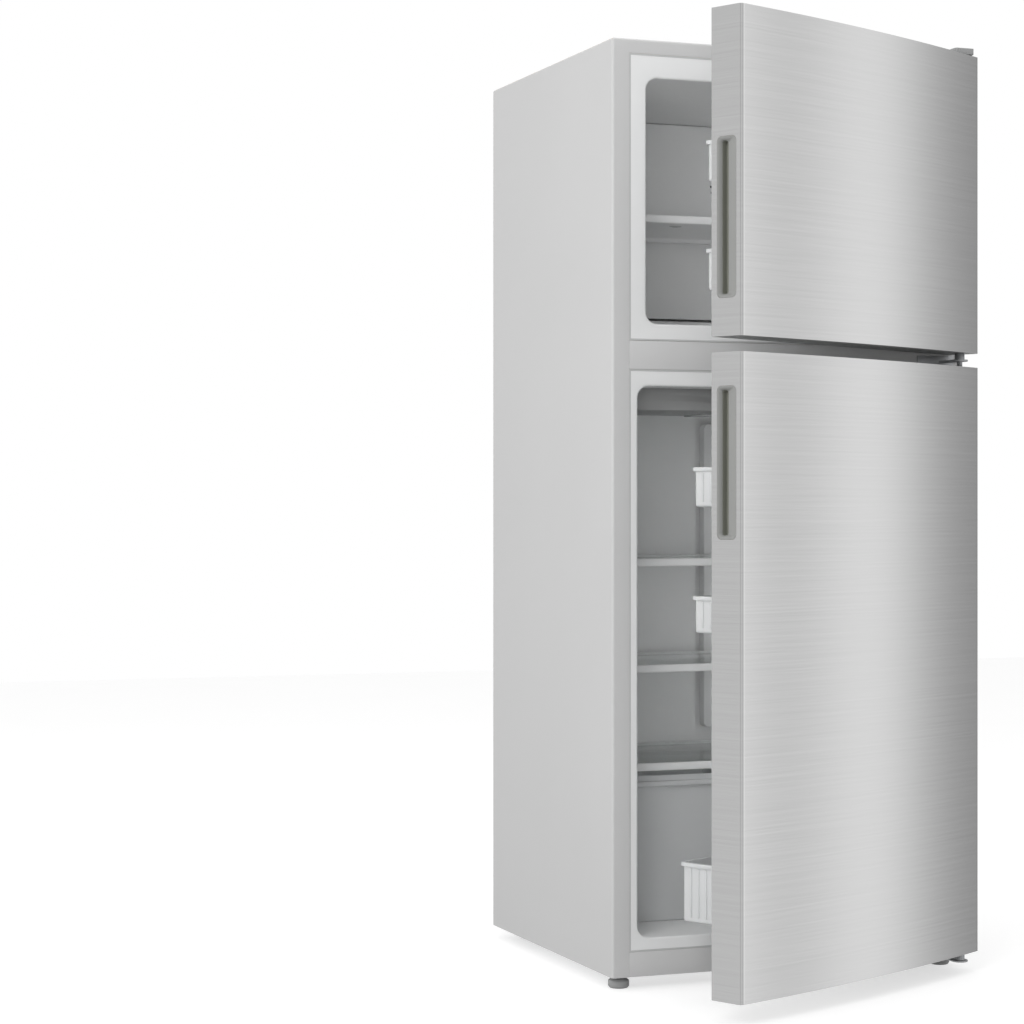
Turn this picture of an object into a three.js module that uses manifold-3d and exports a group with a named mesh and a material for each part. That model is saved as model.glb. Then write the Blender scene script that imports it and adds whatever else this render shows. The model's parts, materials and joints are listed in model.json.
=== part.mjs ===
// A top freezer refrigerator, two doors hinged on the right, shown with both doors ajar.
// Millimetres. +Z is up, the doors face -Y and +X is the hinge side. Heights are from the floor.
// Depths are from the front face of the case until the last lines, which centre the whole object.

import * as THREE from 'three';
import { mergeVertices } from 'three/addons/utils/BufferGeometryUtils.js';
import Module from 'manifold-3d';

const wasm = await Module();
wasm.setup();

// ---------------------------------------------------------------- driving dimensions

const fitGap = 0.3; // between fixed pieces that touch
const runGap = 0.6; // between pieces that move on each other

// The case
const caseWidth = 700;
const caseDepth = 604;
const caseHeight = 1658; // the steel case without its feet
const footHeight = 22; // floor to the lower edge of the case
const sheet = 1; // steel sheet of the case, its back and its base pan
const sideFlange = 32.5; // front face of the case, each side
const topFlange = 25.5; // front face of the case, along the top

// The two compartments, inside their liners
const linerWall = 2;
const linerRadius = 22; // corners of both openings
const linerSetBack = 0.6; // front face of the case to the liner flanges
const freezerHeight = 435;
const freezerSideWall = 66;
const freezerTopWall = 68;
const mullionHeight = 110.5;
const fridgeSideWall = 50;
const fridgeSill = 68; // lower edge of the case to the fridge floor
const backWall = 55;

// Rails across the front
const railSheet = 2;
const railDepth = 62; // bottom rail, front to back
const railHeight = 43.7; // bottom rail
const mullionRailHeight = 51;
const mullionRailAbove = 29.5; // fridge ceiling to the lower edge of the centre rail
const mullionRailDepth = 14;

// The machine compartment, low at the back
const machineDepth = 174;
const machineHeight = 193;
const stepWall = 47; // foam above it
const stepFoot = 60; // foam in front of it, at the fridge floor
const stepHead = 25; // foam in front of it, at the top of the step
const plateRise = 24; // lower edge of the case to the compressor plate
const coverSheet = 2.7;

// Doors
const doorStandOff = 11.3; // case front to the back of a closed door
const doorThickness = 62.2; // at the two vertical edges
const doorBow = 16; // what the front bulges at the middle
const doorEdgeRadius = 7;
const doorSheet = 1;
const doorGap = 26; // between the two doors
const doorLap = 43; // freezer floor to the lower edge of its door
const doorDrop = 2; // top of the case to the top of the freezer door
const doorRise = 15; // lower edge of the case to the lower edge of the fridge door
const capHeight = 12;
const doorAjar = THREE.MathUtils.degToRad(25.6);
const rimGap = 14; // raised rim of the door liner to the compartment wall
const rimWidth = 22;
const rimDepth = 31.3;
const rimRadius = 36; // its outer corners
const gasketDepth = 9.8;
const gasketWidth = 24;
const gasketSideInset = 22;
const gasketEndInset = 16;

// Pocket handles, in the free edge of each door
const pocketWidth = 40;
const pocketFront = 10.5; // front corner of the door edge to the pocket
const pocketDepth = 28;
const pocketRadius = 9;
const pocketWall = 2.5;
const pocketDish = 3;
const slotWidth = 12.5;
const slotOffset = 13; // back edge of the pocket to the finger slot
const freezerPocket = { rise: 63, length: 266 }; // rise is from the door's lower edge
const fridgePocket = { drop: 56, length: 253 }; // drop is from the door's upper edge

// Hinges
const hingeInset = 29.1; // side of the case to the hinge axis
const hingeAhead = 50.7; // hinge axis to the front of the case
const pinRadius = 5;
const pinReach = 20; // into a door
const collarRadius = 9;
const armWidth = 30;
const armSheet = 3.2;
const hingeCoverHeight = 11.5;
const hingeCoverWall = 2;

// Shelves and drawers
const shelfFront = 146;
const shelfRear = 520;
const shelfHeight = 14;
const coverHeight = 14; // crisper cover
const glassSheet = 4;
const frameWidth = 16;
const ribWidth = 12;
const ribHeight = 8;
const crisperBay = 278; // fridge floor to the crisper cover
const lowerShelfShare = 0.258; // of the height between crisper cover and ceiling housing
const upperShelfShare = 0.56;
const freezerBay = 198; // freezer floor to its shelf
const freezerShelfHeight = 14;
const freezerShelfRear = 474;
const crisperHeight = 268;
const crisperSideGap = 6;
const crisperWall = 2.5;
const crisperFront = 155;
const crisperRear = 362;
const crisperLip = 10;
const crisperCorner = 8; // how much less its lower corners are rounded than the liner's

// Door bins, with their floors at a share of the height inside the door liner's rim
const binWall = 2.5;
const binGap = 1;
const binRadius = 14;
const freezerBins = [
  { name: 'freezer_bin_lower', share: 0.03, height: 70, reach: 92 },
  { name: 'freezer_bin_upper', share: 0.541, height: 70, reach: 92 },
];
const fridgeBins = [
  { name: 'fridge_bin_lower', share: 0.0166, height: 102, reach: 134 },
  { name: 'fridge_bin_middle', share: 0.565, height: 63, reach: 108 },
  { name: 'fridge_bin_upper', share: 0.8032, height: 68, reach: 108 },
];

// Ceiling housing, knob, switch and light
const housingHeight = 39;
const housingFront = 70;
const housingDepth = 260;
const housingWall = 2.5;
const knobRadius = 16;
const knobDepth = 17;
const shaftRadius = 4;
const noseWidth = 50;
const noseFront = 34;
const buttonRadius = 5.5;
const buttonPlace = 215; // middle of the case to the button
const buttonTravel = 6;
const knobOffset = 90; // middle of the case to the knob
const lensWidth = 140;
const lensDepth = 80;

// Air passages
const panelSheet = 3;
const evaporatorCoverFront = 478;
const ductWidth = 150;
const ductDepth = 21;
const ductPlace = 150; // middle of the case to the middle of the duct
const freezerFanPlace = 110; // middle of the case to the freezer fan
const slotHeight = 6;

// Feet, rollers and fans
const footRadius = 19;
const footPad = 16;
const studRadius = 4.2;
const studTop = 60; // upper end of a foot's stud
const footInset = 25; // side of the case to the foot
const footBack = 30;
const rollerRadius = 20;
const rollerWidth = 14;
const axleRadius = 4;
const rollerInset = 50;
const rollerFromRear = 44;
const freezerFanRadius = 46;
const machineFanRadius = 52;

// What stands on the compressor plate, measured from the middle of the case
const compressorPlace = -200;
const machineFanPlace = 20;
const condenserEnds = [110, 300];
const trayEnds = [100, 320];

// The evaporator, above the freezer floor
const evaporatorWidth = 410;
const evaporatorRise = 60;
const evaporatorHeight = 170;

// ---------------------------------------------------------------- places that follow

const side = caseWidth / 2;
const caseBottom = footHeight;
const caseTop = caseBottom + caseHeight;
const insideX = side - sheet - fitGap;
const flangeX = side - sideFlange - fitGap;
const linerBack = caseDepth - backWall;
const linerFlangeBack = linerSetBack + linerWall;

const freezer = {
  x: side - freezerSideWall,
  z0: caseTop - freezerTopWall - freezerHeight,
  z1: caseTop - freezerTopWall,
};
const fridge = {
  x: side - fridgeSideWall,
  z0: caseBottom + fridgeSill,
  z1: freezer.z0 - mullionHeight,
};
const mullionRail = { z0: fridge.z1 + mullionRailAbove };
mullionRail.z1 = mullionRail.z0 + mullionRailHeight;
const railTop = caseBottom + fitGap + railHeight;

const machineFront = caseDepth - machineDepth;
const machineTop = caseBottom + machineHeight;
const plateTop = caseBottom + plateRise + railSheet;
const stepTop = machineTop + stepWall;

const doorBack = -doorStandOff;
const doorEdgeFront = doorBack - doorThickness;
const hinge = { x: side - hingeInset, y: -hingeAhead };
const freezerDoor = { z0: freezer.z0 - doorLap, z1: caseTop - doorDrop };
const fridgeDoor = { z0: caseBottom + doorRise, z1: freezerDoor.z0 - doorGap };
const rimFront = doorBack + rimDepth;

const crisperCover = fridge.z0 + crisperBay;
const housingBottom = fridge.z1 - housingHeight;
const shelfAt = (share) => THREE.MathUtils.lerp(crisperCover + coverHeight, housingBottom, share);
const lowerShelf = shelfAt(lowerShelfShare);
const upperShelf = shelfAt(upperShelfShare);
const freezerShelf = freezer.z0 + freezerBay;
const foot = { x: side - footInset, y: footBack };

// ---------------------------------------------------------------- finishes

const finishes = {
  casePaint: { color: 0xc8c9c9, roughness: 0.42, metalness: 0.15 },
  galvanised: { color: 0xa6a9aa, roughness: 0.5, metalness: 0.8 },
  brushedSteel: { color: 0xbfc0c0, roughness: 0.32, metalness: 0.9 },
  linerWhite: { color: 0xe6e8e8, roughness: 0.38, metalness: 0 },
  trimGrey: { color: 0xb2b4b5, roughness: 0.45, metalness: 0 },
  gasketGrey: { color: 0xc9caca, roughness: 0.7, metalness: 0 },
  foam: { color: 0xd9c58c, roughness: 0.9, metalness: 0 },
  glass: { color: 0xdfe9e6, roughness: 0.08, metalness: 0, transparent: true, opacity: 0.4 },
  clearPlastic: { color: 0xe4ebee, roughness: 0.2, metalness: 0, transparent: true, opacity: 0.55 },
  shelfWhite: { color: 0xdfe1e2, roughness: 0.35, metalness: 0 },
  blackPaint: { color: 0x1c1d1e, roughness: 0.35, metalness: 0.3 },
  blackPlastic: { color: 0x2b2c2d, roughness: 0.55, metalness: 0 },
  aluminium: { color: 0xb9bcbe, roughness: 0.4, metalness: 0.85 },
};

// ---------------------------------------------------------------- shape helpers

const alongX = new THREE.Matrix4().makeBasis(
  new THREE.Vector3(0, 1, 0),
  new THREE.Vector3(0, 0, 1),
  new THREE.Vector3(1, 0, 0),
);
const againstY = new THREE.Matrix4().makeBasis(
  new THREE.Vector3(1, 0, 0),
  new THREE.Vector3(0, 0, 1),
  new THREE.Vector3(0, -1, 0),
);

// A closed three.js geometry as a solid that can be cut and joined.
function solid(geometry) {
  geometry.deleteAttribute('normal');
  geometry.deleteAttribute('uv');
  const merged = mergeVertices(geometry, 1e-4);
  const index = merged.index.array;
  const triangles = [];
  for (let i = 0; i < index.length; i += 3) {
    const [a, b, c] = index.slice(i, i + 3);
    if (a !== b && b !== c && c !== a) triangles.push(a, b, c);
  }
  return new wasm.Manifold(new wasm.Mesh({
    numProp: 3,
    vertProperties: new Float32Array(merged.attributes.position.array),
    triVerts: new Uint32Array(triangles),
  }));
}

function extrude(points, depth) {
  const shape = new THREE.Shape(points.map(([u, v]) => new THREE.Vector2(u, v)));
  return new THREE.ExtrudeGeometry(shape, { depth, bevelEnabled: false });
}

// Prisms: an outline in YZ, XZ or XY, drawn out along the third axis.
function prismX(points, x0, x1) {
  return solid(extrude(points, x1 - x0).applyMatrix4(alongX).translate(x0, 0, 0));
}

function prismY(points, y0, y1) {
  return solid(extrude(points, y1 - y0).applyMatrix4(againstY).translate(0, y1, 0));
}

function prismZ(points, z0, z1) {
  return solid(extrude(points, z1 - z0).translate(0, 0, z0));
}

function box(x0, x1, y0, y1, z0, z1) {
  const block = new THREE.BoxGeometry(x1 - x0, y1 - y0, z1 - z0);
  return solid(block.translate((x0 + x1) / 2, (y0 + y1) / 2, (z0 + z1) / 2));
}

// A block centred on x = 0.
const slab = (halfWidth, y0, y1, z0, z1) => box(-halfWidth, halfWidth, y0, y1, z0, z1);

// A round bar standing along Z on its own axis.
function bar(radius, z0, z1, sides = 24) {
  const round = new THREE.CylinderGeometry(radius, radius, z1 - z0, sides);
  return solid(round.rotateX(Math.PI / 2).translate(0, 0, (z0 + z1) / 2));
}

// The same bar, standing at (x, y).
function post(x, y, radius, z0, z1, sides = 24) {
  const round = new THREE.CylinderGeometry(radius, radius, z1 - z0, sides);
  return solid(round.rotateX(Math.PI / 2).translate(x, y, (z0 + z1) / 2));
}

// A turned shape on the Z axis, from [radius, z] points that run upwards.
function turned(profile, sides = 24) {
  const points = profile.map(([r, z]) => new THREE.Vector2(r, z));
  return solid(new THREE.LatheGeometry(points, sides).rotateX(Math.PI / 2));
}

function arc(cu, cv, radius, from, to, steps) {
  return Array.from({ length: steps + 1 }, (_, i) => {
    const angle = from + ((to - from) * i) / steps;
    return [cu + radius * Math.cos(angle), cv + radius * Math.sin(angle)];
  });
}

const rect = (u0, u1, v0, v1) => [[u0, v0], [u1, v0], [u1, v1], [u0, v1]];

function roundedRect(u0, u1, v0, v1, r, steps = 4) {
  const quarter = Math.PI / 2;
  return [
    ...arc(u1 - r, v0 + r, r, -quarter, 0, steps),
    ...arc(u1 - r, v1 - r, r, 0, quarter, steps),
    ...arc(u0 + r, v1 - r, r, quarter, 2 * quarter, steps),
    ...arc(u0 + r, v0 + r, r, 2 * quarter, 3 * quarter, steps),
  ];
}

// A rectangle with only its lower two corners rounded.
function trough(u0, u1, v0, v1, r, steps = 4) {
  const quarter = Math.PI / 2;
  return [
    ...arc(u1 - r, v0 + r, r, -quarter, 0, steps),
    [u1, v1],
    [u0, v1],
    ...arc(u0 + r, v0 + r, r, 2 * quarter, 3 * quarter, steps),
  ];
}

const join = (first, ...rest) => rest.reduce((whole, piece) => whole.add(piece), first);
const cut = (body, ...tools) => tools.reduce((whole, tool) => whole.subtract(tool), body);

function piece(parent, name, shape, finish) {
  const { vertProperties, triVerts } = shape.getMesh();
  const geometry = new THREE.BufferGeometry();
  geometry.setAttribute('position', new THREE.BufferAttribute(vertProperties, 3));
  geometry.setIndex(new THREE.BufferAttribute(triVerts, 1));
  const mesh = new THREE.Mesh(geometry, new THREE.MeshStandardMaterial(finishes[finish]));
  mesh.name = name;
  parent.add(mesh);
  return mesh;
}

// ---------------------------------------------------------------- the case

// The room inside a liner, grown outwards by `grow` on every side but the front.
function room(space, grow, front) {
  const outline = roundedRect(
    -space.x - grow, space.x + grow, space.z0 - grow, space.z1 + grow, linerRadius + grow,
  );
  return prismY(outline, front, linerBack + grow);
}

// The stepped block at the back of the fridge floor, drawn in by `shrink`.
function step(shrink) {
  const low = fridge.z0 - stepWall;
  const outline = [
    [machineFront - stepFoot + shrink, low],
    [caseDepth, low],
    [caseDepth, stepTop - shrink],
    [machineFront - stepHead + shrink, stepTop - shrink],
    [machineFront - stepFoot + shrink, fridge.z0],
  ];
  return prismX(outline, -caseWidth, caseWidth);
}

const freezerRoom = (grow, front = -1) => room(freezer, grow, front);
const fridgeRoom = (grow, front = -1) => room(fridge, grow, front).subtract(step(grow));

function caseWrapper() {
  const outside = slab(side, 0, caseDepth, caseBottom, caseTop);
  const inside = slab(side - sheet, sheet, caseDepth + 1, caseBottom - 1, caseTop - sheet);
  const mouth = slab(side - sideFlange, -1, sheet + 1, caseBottom - 1, caseTop - topFlange);
  return cut(outside, inside, mouth);
}

function basePan() {
  const low = caseBottom + fitGap;
  const front = railDepth + fitGap;
  const rear = caseDepth - sheet - fitGap;
  const outline = [
    [front, low],
    [machineFront, low],
    [machineFront, machineTop],
    [rear, machineTop],
    [rear, machineTop + sheet],
    [machineFront - sheet, machineTop + sheet],
    [machineFront - sheet, low + sheet],
    [front, low + sheet],
  ];
  return prismX(outline, -insideX, insideX);
}

function caseFoam() {
  const front = linerFlangeBack + fitGap;
  const low = caseBottom + railSheet + 2 * fitGap;
  const rear = caseDepth - sheet - fitGap;
  const top = caseTop - sheet - fitGap;
  const outline = [
    [front, low],
    [machineFront - sheet - fitGap, low],
    [machineFront - sheet - fitGap, machineTop + sheet + fitGap],
    [rear, machineTop + sheet + fitGap],
    [rear, top],
    [front, top],
  ];
  const behindRail = slab(
    flangeX + fitGap, 0, mullionRailDepth + fitGap, mullionRail.z0 - fitGap, mullionRail.z1 + fitGap,
  );
  const studWells = [-foot.x, foot.x].map((x) => post(x, foot.y, studRadius + 2, low - 1, studTop + 6, 12));
  return cut(
    prismX(outline, -insideX + fitGap, insideX - fitGap),
    freezerRoom(linerWall + fitGap, 0),
    fridgeRoom(linerWall + fitGap, 0),
    behindRail,
    ...studWells,
  );
}

// A liner with its front flange, and a rib on each side wall under every shelf height given.
function liner(makeRoom, space, flangeZ0, flangeZ1, shelfHeights, ribRear) {
  const flange = slab(flangeX, linerSetBack, linerFlangeBack, flangeZ0, flangeZ1);
  const shell = flange.add(makeRoom(linerWall, linerSetBack)).subtract(makeRoom(0));
  const ribs = shelfHeights.flatMap((z) => [-1, 1].map((hand) => {
    const wall = hand * (space.x + linerWall / 2);
    const edge = hand * (space.x - ribWidth);
    const top = z - fitGap;
    return box(Math.min(wall, edge), Math.max(wall, edge), shelfFront + 10, ribRear, top - ribHeight, top);
  }));
  return join(shell, ...ribs);
}

function mullionRailSheet() {
  const outside = slab(flangeX, 0, mullionRailDepth, mullionRail.z0, mullionRail.z1);
  const inside = slab(
    caseWidth, railSheet, caseDepth, mullionRail.z0 + railSheet, mullionRail.z1 - railSheet,
  );
  return outside.subtract(inside);
}

function bottomRail() {
  const low = caseBottom + fitGap;
  const face = slab(flangeX, 0, railSheet, low, railTop);
  const shelf = slab(insideX, sheet + fitGap, railDepth, low, low + railSheet);
  const studHoles = [-foot.x, foot.x].map((x) => post(x, foot.y, studRadius + runGap, low - 1, low + 9));
  return cut(face.add(shelf), ...studHoles);
}

function buildCase(body) {
  piece(body, 'case_wrapper', caseWrapper(), 'casePaint');
  piece(body, 'back_panel', slab(insideX, caseDepth - sheet, caseDepth, machineTop + sheet,
    caseTop - sheet - fitGap), 'galvanised');
  piece(body, 'base_pan', basePan(), 'galvanised');
  piece(body, 'case_foam', caseFoam(), 'foam');
  piece(body, 'freezer_liner', liner(freezerRoom, freezer, mullionRail.z1 + fitGap,
    caseTop - topFlange - fitGap, [freezerShelf], freezerShelfRear - 20), 'linerWhite');
  piece(body, 'fridge_liner', liner(fridgeRoom, fridge, railTop + fitGap, mullionRail.z0 - fitGap,
    [crisperCover, lowerShelf, upperShelf], shelfRear - 20), 'linerWhite');
  piece(body, 'mullion_rail', mullionRailSheet(), 'casePaint');
  piece(body, 'bottom_rail', bottomRail(), 'casePaint');
}

// ---------------------------------------------------------------- hinges

// A flat arm whose front end is rounded about the hinge axis.
function hingeArm(rear, z0, z1) {
  const half = armWidth / 2;
  const outline = [
    ...arc(hinge.x, hinge.y, half, -Math.PI, 0, 8),
    [hinge.x + half, rear],
    [hinge.x - half, rear],
  ];
  return prismZ(outline, z0, z1);
}

const hingePost = (radius, z0, z1) => post(hinge.x, hinge.y, radius, z0, z1);

function topHinge() {
  const low = caseTop + fitGap;
  const arm = hingeArm(footBack + armWidth, low, low + armSheet);
  return arm.add(hingePost(pinRadius, freezerDoor.z1 - pinReach, low + 1));
}

function middleHinge() {
  const middle = freezerDoor.z0 - doorGap / 2;
  const [low, high] = [middle - armSheet / 2, middle + armSheet / 2];
  const leafHalf = doorGap / 2 - 2;
  const leaf = box(hinge.x - 2 * armWidth, hinge.x + armWidth / 2, -fitGap - railSheet, -fitGap,
    middle - leafHalf, middle + leafHalf);
  return join(
    hingeArm(-fitGap, low, high),
    leaf,
    hingePost(collarRadius, high - 1, freezerDoor.z0 - runGap),
    hingePost(pinRadius, fridgeDoor.z1 - pinReach, freezerDoor.z0 + pinReach),
  );
}

function bottomHinge() {
  const high = caseBottom - runGap;
  const arm = hingeArm(railDepth, high - armSheet, high);
  return join(
    arm.subtract(post(foot.x, foot.y, studRadius + runGap, 0, caseBottom)),
    hingePost(collarRadius, high - 1, fridgeDoor.z0 - runGap),
    hingePost(pinRadius, high - 1, fridgeDoor.z0 + pinReach),
  );
}

function hingeCover() {
  const low = caseTop + fitGap;
  const half = armWidth / 2 + hingeCoverWall + runGap;
  const rear = footBack + armWidth + runGap;
  const innerRadius = 1.5;
  const outline = (grow) => roundedRect(
    hinge.x - half - grow, hinge.x + half + grow, hinge.y - half - grow, rear + grow,
    innerRadius + 1.5 * grow,
  );
  const shell = prismZ(outline(hingeCoverWall), low + 0.2, low + hingeCoverHeight);
  return shell.subtract(prismZ(outline(0), low - 1, low + hingeCoverHeight - hingeCoverWall));
}

function buildHinges(body) {
  piece(body, 'top_hinge_bracket', topHinge(), 'galvanised');
  piece(body, 'middle_hinge_bracket', middleHinge(), 'galvanised');
  piece(body, 'bottom_hinge_bracket', bottomHinge(), 'galvanised');
  piece(body, 'top_hinge_cover', hingeCover(), 'trimGrey');
}

// ---------------------------------------------------------------- doors

// The front of a closed door at x, bowed outwards from its two vertical edges.
const doorFront = (x) => doorEdgeFront - doorBow * (1 - (x / side) ** 2);

// The outline of a closed door from above, drawn in by `inset`, with its back at y = back.
function doorOutline(inset, back) {
  const edge = side - inset;
  const radius = doorEdgeRadius - inset;
  const turn = edge - radius;
  const cornerY = doorFront(turn) + inset + radius;
  const bowSteps = 16;
  const bow = Array.from({ length: bowSteps - 1 }, (_, i) => {
    const x = turn - ((i + 1) * 2 * turn) / bowSteps;
    return [x, doorFront(x) + inset];
  });
  return [
    [-edge, back],
    ...arc(-turn, cornerY, radius, Math.PI, 1.5 * Math.PI, 4),
    ...bow.reverse(),
    ...arc(turn, cornerY, radius, -Math.PI / 2, 0, 4),
    [edge, back],
  ];
}

// The pocket outline on the door's free edge, in YZ, drawn in by `inset`.
function pocketOutline(pocket, inset) {
  const front = doorEdgeFront + pocketFront;
  return roundedRect(
    front + inset, front + pocketWidth - inset, pocket.z0 + inset, pocket.z1 - inset,
    pocketRadius - inset,
  );
}

function pocketTrim(pocket) {
  const cup = prismX(pocketOutline(pocket, 0), -side, -side + pocketDepth);
  const dish = prismX(pocketOutline(pocket, pocketWall), -side - 1, -side + pocketDish);
  const slotBack = doorEdgeFront + pocketFront + pocketWidth - slotOffset;
  const slot = prismX(
    roundedRect(slotBack - slotWidth, slotBack, pocket.z0 + 2 * pocketWall, pocket.z1 - 2 * pocketWall,
      slotWidth / 2 - 0.5),
    -side - 1, -side + pocketDepth - pocketWall,
  );
  return cut(cup, dish, slot);
}

function doorCap(z0, z1) {
  const plate = prismZ(doorOutline(doorSheet + fitGap, doorBack), z0, z1);
  return plate.subtract(hingePost(pinRadius + runGap, z0 - 1, z1 + 1));
}

// The raised rim of a door liner as a ring, drawn in by `inset`, from the door's back to `front`.
function rim(space, inset, back, front) {
  const ring = (grow) => roundedRect(
    -space.x + rimGap - grow, space.x - rimGap + grow,
    space.z0 + rimGap - grow, space.z1 - rimGap + grow, rimRadius + grow,
  );
  return prismY(ring(-inset), back, front).subtract(prismY(ring(inset - rimWidth), back - 1, front + 1));
}

function doorLiner(space, door) {
  const inner = side - doorSheet - fitGap;
  const plate = slab(inner, doorBack - linerWall, doorBack, door.z0 + capHeight + fitGap,
    door.z1 - capHeight - fitGap);
  const hollow = rim(space, linerWall, doorBack - linerWall - 1, rimFront - linerWall);
  return plate.add(rim(space, 0, doorBack - linerWall, rimFront)).subtract(hollow);
}

function doorFoam(space, door, pocket) {
  const inset = doorSheet + fitGap;
  const back = doorBack - linerWall - fitGap;
  const core = prismZ(doorOutline(inset, back), door.z0 + capHeight + fitGap, door.z1 - capHeight - fitGap);
  const rimFill = rim(space, linerWall + fitGap, back - 1, rimFront - linerWall - fitGap);
  const well = prismX(pocketOutline(pocket, -fitGap), -caseWidth, -side + pocketDepth + fitGap);
  const pinWells = hingePost(pinRadius + runGap, door.z0, door.z0 + pinReach + 1).add(
    hingePost(pinRadius + runGap, door.z1 - pinReach - 1, door.z1),
  );
  return cut(core.add(rimFill), well, pinWells);
}

function doorSkin(door, pocket) {
  const outside = prismZ(doorOutline(0, doorBack), door.z0, door.z1);
  const inside = prismZ(doorOutline(doorSheet, doorBack + 1), door.z0 - 1, door.z1 + 1);
  const window = prismX(pocketOutline(pocket, -fitGap), -side - 1, -side + doorSheet + 1);
  return cut(outside, inside, window);
}

function gasket(door) {
  const ring = (inset) => roundedRect(
    -side + gasketSideInset + inset, side - gasketSideInset - inset,
    door.z0 + gasketEndInset + inset, door.z1 - gasketEndInset - inset, 4,
  );
  const back = doorBack + fitGap;
  return prismY(ring(0), back, back + gasketDepth).subtract(
    prismY(ring(gasketWidth), back - 1, back + gasketDepth + 1),
  );
}

function doorBin(space, bin) {
  const half = space.x - rimGap - rimWidth - binGap;
  const back = doorBack + fitGap;
  const rimInside = rimGap + rimWidth;
  const z0 = THREE.MathUtils.lerp(space.z0 + rimInside, space.z1 - rimInside, bin.share);
  const outline = (inset, steps) => roundedRect(
    -half + inset, half - inset, back + inset, bin.reach - inset, binRadius - inset, steps,
  );
  const tub = prismZ(outline(0, 4), z0, z0 + bin.height);
  return tub.subtract(prismZ(outline(binWall, 1), z0 + binWall, z0 + bin.height + 1));
}

// A door turned about its hinge axis. Its pieces are placed as in the closed door.
function buildDoor(whole, label, space, door, pocketPlace, bins) {
  const { length } = pocketPlace;
  const low = 'rise' in pocketPlace ? door.z0 + pocketPlace.rise : door.z1 - pocketPlace.drop - length;
  const pocket = { z0: low, z1: low + length };
  const swing = new THREE.Group();
  swing.position.set(hinge.x, hinge.y, 0);
  swing.rotation.z = doorAjar;
  const leaf = new THREE.Group();
  leaf.position.set(-hinge.x, -hinge.y, 0);
  swing.add(leaf);
  whole.add(swing);

  piece(leaf, `${label}_door_skin`, doorSkin(door, pocket), 'brushedSteel');
  piece(leaf, `${label}_door_foam`, doorFoam(space, door, pocket), 'foam');
  piece(leaf, `${label}_door_top_cap`, doorCap(door.z1 - capHeight, door.z1), 'trimGrey');
  piece(leaf, `${label}_door_bottom_cap`, doorCap(door.z0, door.z0 + capHeight), 'trimGrey');
  piece(leaf, `${label}_door_handle`, pocketTrim(pocket), 'trimGrey');
  piece(leaf, `${label}_door_liner`, doorLiner(space, door), 'linerWhite');
  piece(leaf, `${label}_door_gasket`, gasket(door), 'gasketGrey');
  for (const bin of bins) piece(leaf, bin.name, doorBin(space, bin), 'clearPlastic');
}

// ---------------------------------------------------------------- shelves and crispers

function shelfFrame(z0, height) {
  const half = fridge.x - 2 * runGap;
  const outside = slab(half, shelfFront, shelfRear, z0, z0 + height);
  const hole = slab(half - frameWidth, shelfFront + frameWidth, shelfRear - frameWidth, z0 - 1, z0 + 99);
  const rebate = slab(half - frameWidth / 2, shelfFront + frameWidth / 2, shelfRear - frameWidth / 2,
    z0 + height - glassSheet - 1, z0 + 99);
  return cut(outside, hole, rebate);
}

function shelfGlass(z0, height) {
  const half = fridge.x - 2 * runGap - frameWidth / 2 - fitGap;
  const inset = frameWidth / 2 + fitGap;
  const low = z0 + height - glassSheet - 1 + fitGap;
  return slab(half, shelfFront + inset, shelfRear - inset, low, low + glassSheet);
}

function freezerShelfSlab() {
  const [z0, z1] = [freezerShelf, freezerShelf + freezerShelfHeight];
  const web = z1 - glassSheet - 1;
  const outline = [
    [shelfFront, z0],
    [shelfFront + frameWidth, z0],
    [shelfFront + frameWidth, web],
    [freezerShelfRear - frameWidth, web],
    [freezerShelfRear - frameWidth, z0],
    [freezerShelfRear, z0],
    [freezerShelfRear, z1],
    [shelfFront, z1],
  ];
  return prismX(outline, -freezer.x + 2 * runGap, freezer.x - 2 * runGap);
}

// A crisper: an open tub between x0 and x1 with a lip to pull it by.
function crisper(x0, x1) {
  const z0 = fridge.z0 + runGap;
  const z1 = z0 + crisperHeight;
  const radius = linerRadius - crisperCorner;
  const tub = prismY(trough(x0, x1, z0, z1, radius), crisperFront, crisperRear);
  const inside = prismY(
    trough(x0 + crisperWall, x1 - crisperWall, z0 + crisperWall, z1 + 9, radius - crisperWall, 1),
    crisperFront + crisperWall, crisperRear - crisperWall,
  );
  const lip = box(x0 + 2 * radius, x1 - 2 * radius, crisperFront - crisperLip, crisperFront + 1,
    z1 - 2 * crisperLip, z1 - crisperLip);
  return tub.subtract(inside).add(lip);
}

function buildShelves(body, whole) {
  piece(body, 'freezer_shelf', freezerShelfSlab(), 'shelfWhite');
  piece(body, 'shelf_upper_frame', shelfFrame(upperShelf, shelfHeight), 'shelfWhite');
  piece(body, 'shelf_upper_glass', shelfGlass(upperShelf, shelfHeight), 'glass');
  piece(body, 'shelf_lower_frame', shelfFrame(lowerShelf, shelfHeight), 'shelfWhite');
  piece(body, 'shelf_lower_glass', shelfGlass(lowerShelf, shelfHeight), 'glass');
  piece(body, 'crisper_cover_frame', shelfFrame(crisperCover, coverHeight), 'shelfWhite');
  piece(body, 'crisper_cover_glass', shelfGlass(crisperCover, coverHeight), 'glass');

  const outer = fridge.x - crisperSideGap;
  const inner = crisperSideGap / 2;
  piece(whole, 'crisper_left', crisper(-outer, -inner), 'clearPlastic');
  piece(whole, 'crisper_right', crisper(inner, outer), 'clearPlastic');
}

// ---------------------------------------------------------------- ceiling housing

const knobPlace = { x: -knobOffset, z: housingBottom + housingHeight / 2 };
const button = { x: buttonPlace, z: housingBottom + 1.5 * buttonRadius };

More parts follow.
